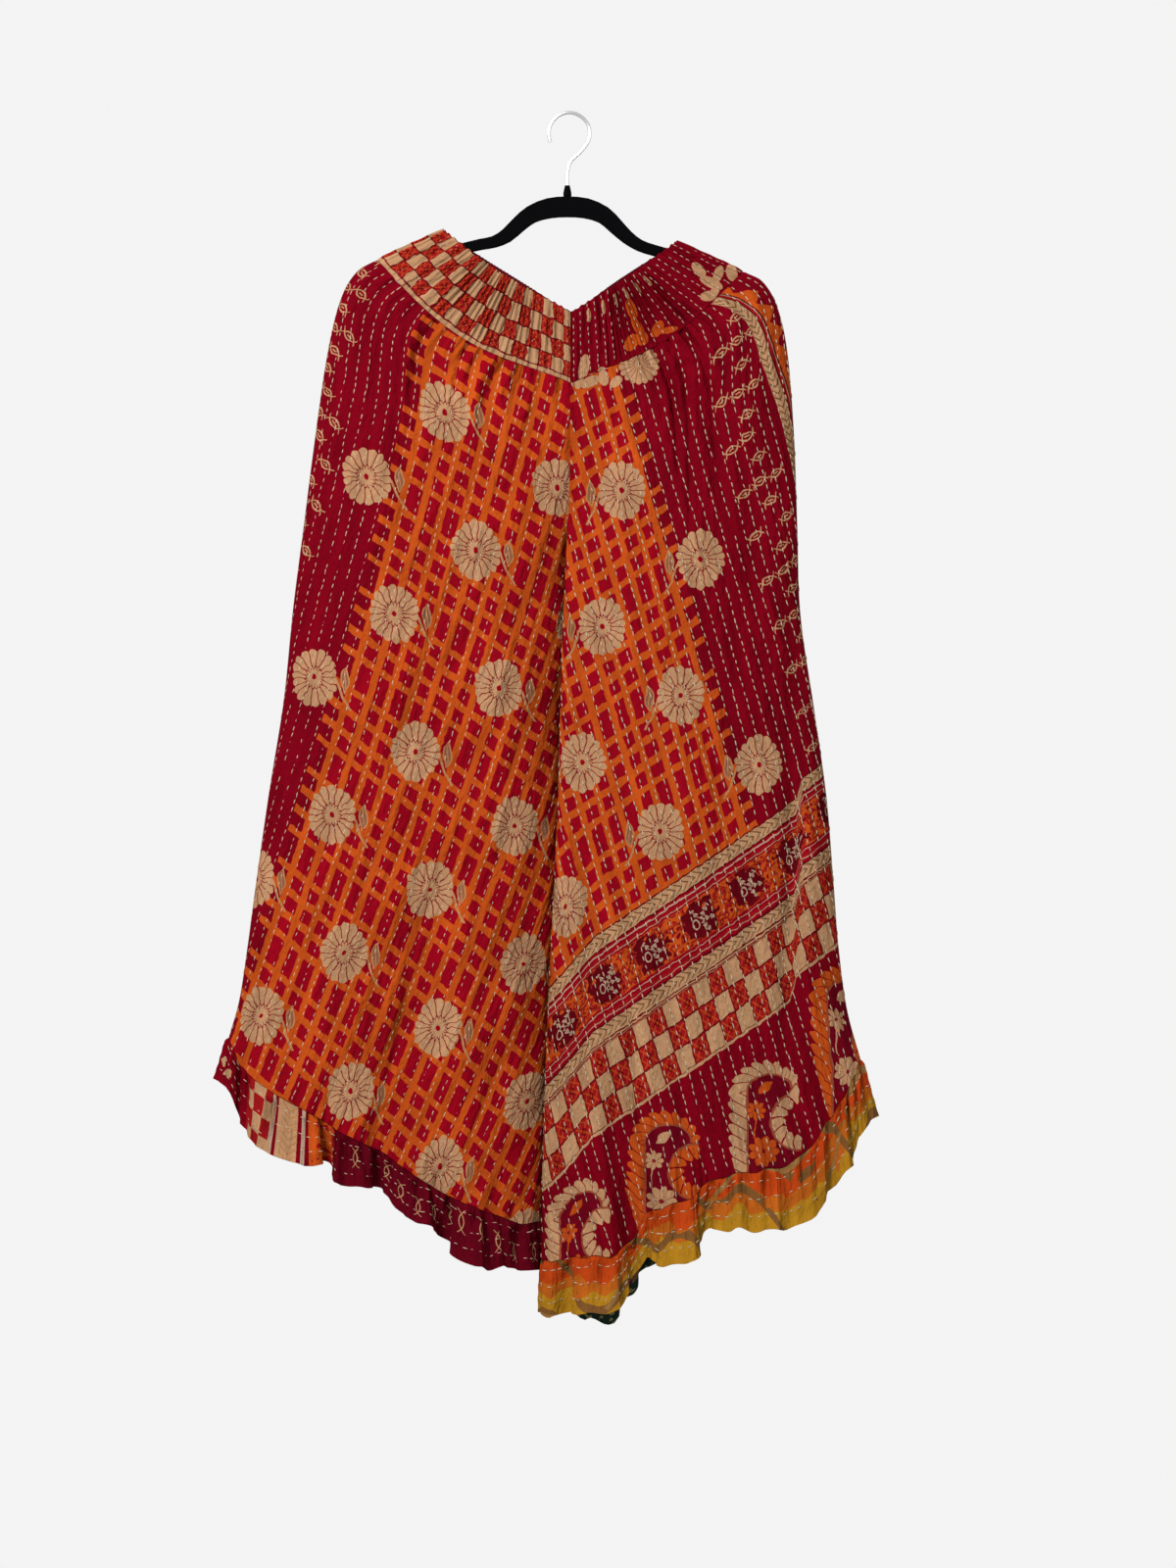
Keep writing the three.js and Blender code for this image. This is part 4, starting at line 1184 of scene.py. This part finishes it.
BACK_CREASES = table(FOLD_COLUMNS, [
    (0.25, 0.3, 1, 3.6, -1.6, 0.018),
    (0.42, 0.4, 1, 4.2, -1.8, 0.016),
    (0.6, 0.63, 1, 3.4, -1.4, 0.016),
    (0.76, 0.72, 1, 4.0, 1.5, 0.018),
    (0.12, 0.16, 7.8, 13.2, -2.0, 0.025),
    (0.4, 0.46, 8.6, 13.4, -2.0, 0.02),
    (0.66, 0.7, 9.6, 13.4, 1.8, 0.02),
    (0.86, 0.84, 9.8, 13.0, -1.5, 0.016),
])
RIGHT_BACK_FOLDS = table(FOLD_COLUMNS, [
    (0.2, 0.3, 5, 13.5, -6, 0.08),
    (0.5, 0.48, 4, 13.5, 5, 0.12),
    (0.75, 0.8, 3, 11, -6, 0.07),
])
LEFT_BACK_FOLDS = table(FOLD_COLUMNS, [
    (0.25, 0.35, 6, 13.5, -7, 0.08),
    (0.55, 0.6, 4, 13.5, 5, 0.12),
    (0.8, 0.72, 3, 10, -5, 0.06),
])


def back_hem(front, start, end, lower):
    """The front hem with its waves in the other order, and lower by the crease."""
    share = np.clip((front["at"] - start) / (end - start), 0, 1)
    waves = front["out"][::-1] * 0.9
    waves[0], waves[-1] = front["out"][0], front["out"][-1]
    return {"at": front["at"], "dip": front["dip"] + lower * np.sin(np.pi * share) ** 2,
            "drop": front["drop"], "out": waves}


BACK_RIGHT = {"side": -1, "out": 1, "sections": RIGHT_SECTIONS, "folds": RIGHT_BACK_FOLDS,
              "hem": back_hem(RIGHT_HEM, 0.02, 0.6, 4)}
BACK_LEFT = {"side": 1, "out": 1, "sections": LEFT_SECTIONS, "folds": LEFT_BACK_FOLDS,
             "hem": back_hem(LEFT_HEM, 0.01, 0.47, 25)}

back_right, outer_br, uv_br = leg_panel(
    "pants_back_right", BACK_RIGHT, BACK_CREASES, NO_JOGS, right_print_map, 90, 150, 11)
back_left, outer_bl, uv_bl = leg_panel(
    "pants_back_left", BACK_LEFT, BACK_CREASES, NO_JOGS, left_print_map, 90, 150, 12)
back_right.data.materials.append(leg_print_right("cotton_back_right", 0.6, 0.31).finish())
back_left.data.materials.append(leg_print_left("cotton_back_left", -0.4, -0.16).finish())
for panel, node, slot in (
    (back_right, "back_right", "lattice_cotton"),
    (back_left, "back_left", "border_cotton"),
):
    panel.data.materials.append(lining)
    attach(panel, "root")
    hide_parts(node)
stitches("stitches_back_right", outer_br, uv_br, 13)
stitches("stitches_back_left", outer_bl, uv_bl, 14)


# Waistband in two halves, joined at the centre front and centre back. Each is a doubled strip of
# quilted cotton drawn up over wide elastic, so it stands in fine upright gathers.

BAND_SWELL = table("row swell", [(0, 0.35), (0.14, 1), (0.86, 1), (1, 0.3)])
BAND_HEIGHT = 0.07
BAND_WALL = 2.3
BAND_GATHERS = 30
BAND_STEPS = 180
BAND_ROWS = 18


def waistband(name, front, back, seed):
    """Half of the band, from the centre front round the side to the centre back."""
    t = np.linspace(0, 1, BAND_STEPS + 1)[None, :]
    v = np.linspace(0, 1, BAND_ROWS + 1)[:, None]
    t, v = np.broadcast_arrays(t, v)
    halves, normals, shares = [], [], []
    for quarter in (front, back):
        points = cloth(quarter, t, v)
        points[:, -1, 1] = 0
        at, _ = section_shares(quarter, t, v)
        opened = np.clip(along(quarter["sections"]["open"], v), 0, 1)
        halves.append(points + lapped(quarter, at, opened))
        normals.append(outward(quarter, t, v))
    base = np.concatenate([halves[0], halves[1][:, -2::-1]], axis=1)
    normal = np.concatenate([normals[0], normals[1][:, -2::-1]], axis=1)
    place = np.concatenate([t, 2 - t[:, -2::-1]], axis=1)
    level = np.concatenate([v, v[:, -2::-1]], axis=1)
    rng = np.random.default_rng(seed)
    knots = 2 * BAND_GATHERS + 1
    heights = rng.uniform(0.55, 1.15, knots)
    uneven = np.interp(place[0] * BAND_GATHERS, np.arange(knots), heights)[None, :]
    swing = -np.cos(2 * np.pi * (BAND_GATHERS * place + 0.06 * np.sin(5 * level + 19 * place)))
    swell = np.interp(level, BAND_SWELL["row"], BAND_SWELL["swell"])
    ends = smooth(0, 0.03, place) * smooth(2, 1.97, place)
    drawn = 0.22 * np.cos(2 * np.pi * 4.5 * level) * smooth(0.05, 0.15, level)
    rise = (0.5 + 1.5 * swing * uneven + drawn) * swell * ends
    outer = base + normal * rise[..., None]
    outer[..., 2] += 0.9 * (swing * uneven * ends) * (1 - smooth(0, 0.3, level))
    inner = base + normal * (rise * 0.3 - BAND_WALL)[..., None]
    step = np.linalg.norm(np.diff(base[BAND_ROWS // 2], axis=0), axis=-1)
    run = np.concatenate([[0], np.cumsum(step)]) / 1000
    uv = np.stack([np.broadcast_to(run, level.shape), level * BAND_HEIGHT], axis=-1)
    return wall(name, outer, inner, uv), outer, uv


waistband_right, outer_wr, uv_wr = waistband("pants_waistband_right", FRONT_RIGHT, BACK_RIGHT, 3)
waistband_left, outer_wl, uv_wl = waistband("pants_waistband_left", FRONT_LEFT, BACK_LEFT, 4)

check_skin = Cloth("cotton_check", BEIGE)
wobble = check_skin.noise(105, 1) - 0.5
check_u = check_skin.u + wobble * 0.006
check_v = check_skin.v + wobble * 0.004
checks(check_skin, check_u + 0.004, check_v / 0.0158, 0.0122, check_v < 0.0645)
check_skin.paint(LINE_RED, check_v.between(0.0638, 0.0646))
waistband_right.data.materials.append(check_skin.finish(relief_mm=5.0, crumple=(190, 11, 1)))

crimson_skin = Cloth("cotton_crimson_band", CRIMSON)
leaf_u = (crimson_skin.u - 0.022).repeat(0.0165)
leaf_v = crimson_skin.v - 0.0085 - abs((crimson_skin.u * 190).math("SINE")) * 0.005
small_leaf = (leaf_u * 420).beside(leaf_v * 150) < 0.9
crimson_skin.paint(BEIGE, small_leaf & crimson_skin.u.between(0.012, 0.115))
spray(crimson_skin, BEIGE, [
    (14, -247, 13, 5, 80),
    (22, -258, 9, 5, 30),
    (33, -253, 7, 5, 120),
    (44, -257, 6, 4, 60),
    (125, -152, 9, 5, -50),
    (137, -165, 12, 5, -25),
    (157, -154, 9, 5.5, 100),
    (134, -178, 8, 5, 10),
    (172, -160, 11, 4.5, 20),
    (144, -156, 9, 4.5, 70),
    (140, -174, 7, 4, 60),
])
spray(crimson_skin, ORANGE, [
    (60, -191, 11, 4.5, -70),
    (66, -208, 11, 4, -60),
    (85, -210, 9, 5, 60),
    (96, -211, 9, 3, 15),
    (60, -223, 9, 6, 60),
    (70, -219, 7, 6, 100),
])
waistband_left.data.materials.append(crimson_skin.finish(relief_mm=6.0, crumple=(190, 11, 1)))
for band, node, slot in (
    (waistband_right, "waistband_right", "check_cotton"),
    (waistband_left, "waistband_left", "crimson_cotton"),
):
    band.data.materials.append(lining)
    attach(band, "root")
    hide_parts(node)
stitches("stitches_waistband_right", outer_wr, uv_wr, 15,
         row_pitch=0.0088, pitch=0.0066, length=0.0048, width=0.0007)
stitches("stitches_waistband_left", outer_wl, uv_wl, 16,
         row_pitch=0.0082, pitch=0.0066, length=0.0048, width=0.0008)


# Ruffles, a gathered strip of quilted cotton sewn round each hem seam. Every strip is pieced from
# offcuts, so the print changes along it, and three rows of stitches run along its length.

RUFFLE_DEPTH = 0.05
RUFFLE_WALL = 1.4
RUFFLE_STEPS = 170
RUFFLE_ROWS = 20


def ruffle_half(quarter, t, w):
    """Points of a ruffle below one panel: w runs down from the hem seam, 0, to the free edge, 1."""
    rows = quarter["sections"]
    seam = cloth(quarter, t, HEM_ROW + 0 * t)
    seam[[0, -1], 1] = 0
    ahead = cloth(quarter, np.minimum(t + 0.003, 1), HEM_ROW + 0 * t)
    behind = cloth(quarter, np.maximum(t - 0.003, 0), HEM_ROW + 0 * t)
    run = ahead - behind
    turn = unit(np.stack([-run[:, 1], run[:, 0], 0 * t], axis=-1)) * quarter["side"] * quarter["out"]
    crease, side = rows["crease_x"][-1], rows["side_x"][-1]
    at = np.clip((seam[:, 0] - crease) / (side - crease), 0, 1)
    flare = 7 * smooth(0, 0.15, at) * (1 - 0.7 * smooth(0.9, 1, at))
    wave = at_share(quarter["hem"], "out", at) * 0.9
    drop = at_share(quarter["hem"], "drop", at)
    seam = seam + lapped(quarter, at, 0 * at)
    points = seam[None] + turn[None] * (flare * w + wave * w ** 1.2)[..., None]
    points[..., 2] -= SLANT_GAP + w * drop
    return points


# places round the hem from the crease, 0, over the side, 1, and back to it behind, 2
PLEATS = table("at depth wide", [
    (0.07, 6.5, 0.013),
    (0.16, 4.0, 0.010),
    (0.22, 3.0, 0.008),
    (0.29, 7.5, 0.013),
    (0.37, 4.0, 0.010),
    (0.47, 7.0, 0.014),
    (0.57, 4.5, 0.010),
    (0.62, 3.0, 0.008),
    (0.68, 6.5, 0.012),
    (0.78, 5.0, 0.011),
    (0.88, 6.5, 0.013),
    (1.15, 4.0, 0.012),
    (1.34, 5.0, 0.013),
    (1.58, 4.0, 0.012),
    (1.83, 5.0, 0.012),
])


def ruffle(name, front, back, seed):
    """A strip right round one hem, gathered at its seam and pleated unevenly below it."""
    t = np.linspace(0, 1, RUFFLE_STEPS + 1)
    w = np.linspace(0, 1, RUFFLE_ROWS + 1)[:, None]
    points = np.concatenate([ruffle_half(front, t, w), ruffle_half(back, t, w)[:, -2:0:-1]], axis=1)
    ahead = np.roll(points, -1, axis=1) - np.roll(points, 1, axis=1)
    down = np.gradient(points, axis=0)
    normal = unit(np.cross(ahead, down) * front["side"] * front["out"])
    normal[0, :, 2] = 0
    normal = unit(normal)
    step = np.linalg.norm(points[-1] - np.roll(points[-1], 1, axis=0), axis=-1)
    run = np.cumsum(step) - step[0]
    rng = np.random.default_rng(seed)
    phase = rng.uniform(0, 6.28, 3)
    gather = np.sin(run / 3.4 + phase[0]) + 0.6 * np.sin(run / 2.1 + phase[1])
    rise = 2.3 * gather[None] * (1 - 0.7 * smooth(0, 0.8, w)) * smooth(0, 0.08, w)
    rise = rise + 3 * np.sin(run / 7 + 2 * np.sin(run / 31 + phase[2]))[None] * np.sin(0.6 * np.pi * w)
    rise = rise + 0.25 * np.cos(2 * np.pi * 4 * w) * smooth(0.05, 0.2, w)
    for k in range(len(PLEATS["at"])):
        place = run / run[RUFFLE_STEPS] + 0.02 * np.sin(seed + 5 * k)
        off = (place - PLEATS["at"][k]) / PLEATS["wide"][k]
        dent = np.exp(-off ** 2) - 0.55 * np.exp(-(off - 1.8) ** 2)
        rise = rise - PLEATS["depth"][k] * dent[None] * smooth(0, 0.2, w) * (1 - 0.35 * w)
    outer = points + normal * rise[..., None]
    inner = outer - normal * RUFFLE_WALL
    total = run[-1] + step[0]
    share = np.concatenate([run, [total]]) / 1000
    uv = np.stack(np.broadcast_arrays(share[None, :], w * RUFFLE_DEPTH), axis=-1)
    closed = np.concatenate([outer, outer[:, :1]], axis=1)
    return wall(name, outer, inner, uv, ring=True), closed, uv


ruffle_right, outer_rr, uv_rr = ruffle("pants_ruffle_right", FRONT_RIGHT, BACK_RIGHT, 5)
ruffle_left, outer_rl, uv_rl = ruffle("pants_ruffle_left", FRONT_LEFT, BACK_LEFT, 6)

MAROON = ink(124, 8, 32)
pieced = Cloth("cotton_pieced", MAROON)
share = pieced.u * (1 / float(uv_rr[0, RUFFLE_STEPS, 0]))
depth = pieced.v
pieced.paint(pieced.steps(share, 0, 2.2, [
    (0, MAROON),
    (0.6, DEEP_RED),
    (0.615, ORANGE),
    (0.7, CRIMSON),
    (0.712, PALE),
    (0.718, CRIMSON),
    (0.73, BEIGE),
    (0.765, CRIMSON),
    (0.776, PALE),
    (0.786, CHECK_RED),
    (0.86, CRIMSON),
    (1.3, MAROON),
]), share > -1)
fish_x = (pieced.u.repeat(0.024)) * 1000
fish_z = ((depth - (pieced.u / 0.024).math("ROUND").math("SINE") * 0.008 - 0.024) * 1000)
lens = abs((fish_z * fish_z) * (-2.6 / 42) + 2.6)
shape = (abs(abs(fish_x) - lens) < 0.6) & (abs(fish_z) < 10.5)
pieced.paint(BEIGE, shape & ((share < 0.59) | (share > 1.36)))
blot = pieced.noise(95, 1) > 0.56
pieced.paint(CHECK_RED, blot & share.between(0.615, 0.7))
patch_row = (pieced.u / 0.0155).math("FLOOR") + (depth / 0.0155 + 0.4).math("FLOOR")
odd = (patch_row * 0.5).math("FRACT") > 0.25
pieced.paint(BEIGE, odd & share.between(0.786, 0.86))
twist = (depth * 160 + abs(share - 0.748) * 60).math("FRACT") < 0.3
pieced.paint(PALE_BEIGE, twist & share.between(0.73, 0.765))
scraps = pieced.noise(48, 1) > 0.64
pieced.paint(BEIGE, scraps & share.between(0.87, 1.3))
ruffle_right.data.materials.append(pieced.finish(crumple=(75, 22, 1)))

AMBER = ink(222, 158, 40)
OLIVE = ink(158, 106, 56)
sunny = Cloth("cotton_sunny", AMBER)
drift = sunny.noise(26, 2)
depth = sunny.v + drift * 0.05 - 0.022
sunny.paint(ink(232, 120, 36), depth < 0.036)
sunny.paint(ink(236, 86, 28), depth < 0.021)
stroke = ((sunny.u * 62).math("SINE") * 0.012 + sunny.v * 0.8 - sunny.u * 0.33).repeat(0.042)
sunny.paint(OLIVE, (abs(stroke) < 0.0034) & (drift > 0.42))
vein = ((sunny.u * 40).math("COSINE") * 0.016 + sunny.v + sunny.u * 0.4).repeat(0.07)
sunny.paint(ink(192, 138, 78), (abs(vein) < 0.0034) & (drift < 0.56))
ruffle_left.data.materials.append(sunny.finish(wear=0.2, crumple=(75, 22, 1)))
dusky = Cloth("cotton_dusky", ink(150, 112, 80))
dusky.paint(ink(112, 40, 76), dusky.noise(110, 1) > 0.62)
dusky.paint(ink(44, 66, 52), dusky.v > 0.034)
dusky.paint(ink(176, 160, 110), (dusky.v > 0.037) & (dusky.noise(150, 1) > 0.6))
ruffle_left.data.materials.append(dusky.finish())
ruffle_right.data.materials.append(lining)
for strip, node, slot in (
    (ruffle_right, "ruffle_right", "crimson_cotton"),
    (ruffle_left, "ruffle_left", "yellow_cotton"),
):
    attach(strip, "root")
    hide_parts(node)
stitches("stitches_ruffle_right", outer_rr, uv_rr[..., ::-1], 17,
         row_pitch=0.0145, pitch=0.0088, width=0.001, first_row=0.008, rows=3)
stitches("stitches_ruffle_left", outer_rl, uv_rl[..., ::-1], 18,
         row_pitch=0.0145, pitch=0.0088, width=0.001, first_row=0.008, rows=3)


# Hanger: a slim plastic arch and arms covered in black flock, a small cone over the arch and a
# bent steel hook. The waistband hangs over the arms' tips.

def finish_node(name, material):
    """Gives one of the part's own solids its material."""
    for slot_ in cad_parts[name].material_slots:
        slot_.material = material


flock = plain_finish("black_flock_finish", (0.0009, 0.0009, 0.0011, 1), 1.0,
                     {"Specular IOR Level": 0.02})
steel = plain_finish("steel_finish", (0.5, 0.5, 0.52, 1), 0.28, {"Metallic": 1.0})
finish_node("hanger_body", flock)
finish_node("hanger_ferrule", flock)
finish_node("hanger_hook", steel)


# Photo set: a pale floor under the rail, soft light from above and both sides, and the camera
# straight in front of the garment.

FLOOR_RADIUS = 1.5
FLOOR_LEVEL = -1.75
FLOOR_SIDES = 64
floor_mesh = bpy.data.meshes.new("floor")
turns = [2 * math.pi * k / FLOOR_SIDES for k in range(FLOOR_SIDES)]
ring = [(FLOOR_RADIUS * math.cos(k), FLOOR_RADIUS * math.sin(k), FLOOR_LEVEL) for k in turns]
floor_mesh.from_pydata(ring, [], [list(range(FLOOR_SIDES))])
floor_mesh.materials.append(plain_finish("floor_paint", (0.34, 0.34, 0.34, 1), 0.8))
floor = placed("floor", floor_mesh)

world = bpy.data.worlds.new("studio")
bpy.context.scene.world = world
world.use_nodes = True
world.node_tree.nodes["Background"].inputs["Color"].default_value = (0.9, 0.9, 0.9, 1)
world.node_tree.nodes["Background"].inputs["Strength"].default_value = 1.0
bpy.context.scene.view_settings.view_transform = "Standard"
GARMENT_MIDDLE = (0, 0, -0.6)


def softbox(name, place, size, watts):
    """A square lamp that faces the middle of the garment."""
    lamp = bpy.data.lights.new(name, "AREA")
    lamp.shape = "SQUARE"
    lamp.size = size
    lamp.energy = watts
    holder = placed(name, lamp)
    holder.location = place
    direction = mathutils.Vector(GARMENT_MIDDLE) - mathutils.Vector(place)
    holder.rotation_euler = direction.to_track_quat("-Z", "Y").to_euler()


softbox("key_light", (-1.5, -2.5, 1.3), 0.9, 275)
softbox("fill_light", (2.2, -2.2, 0.1), 1.6, 20)
softbox("back_light", (1.3, 2.9, 1.2), 1.2, 230)

PHOTO_HEIGHT = 1.52
CAMERA_AWAY = 4.0
camera_data = bpy.data.cameras.new("camera")
camera_data.lens = camera_data.sensor_width * CAMERA_AWAY / PHOTO_HEIGHT
camera = placed("camera", camera_data)
camera.location = (0.018, -CAMERA_AWAY, -0.649)
camera.rotation_euler = (math.radians(90), 0, 0)
bpy.context.scene.camera = camera
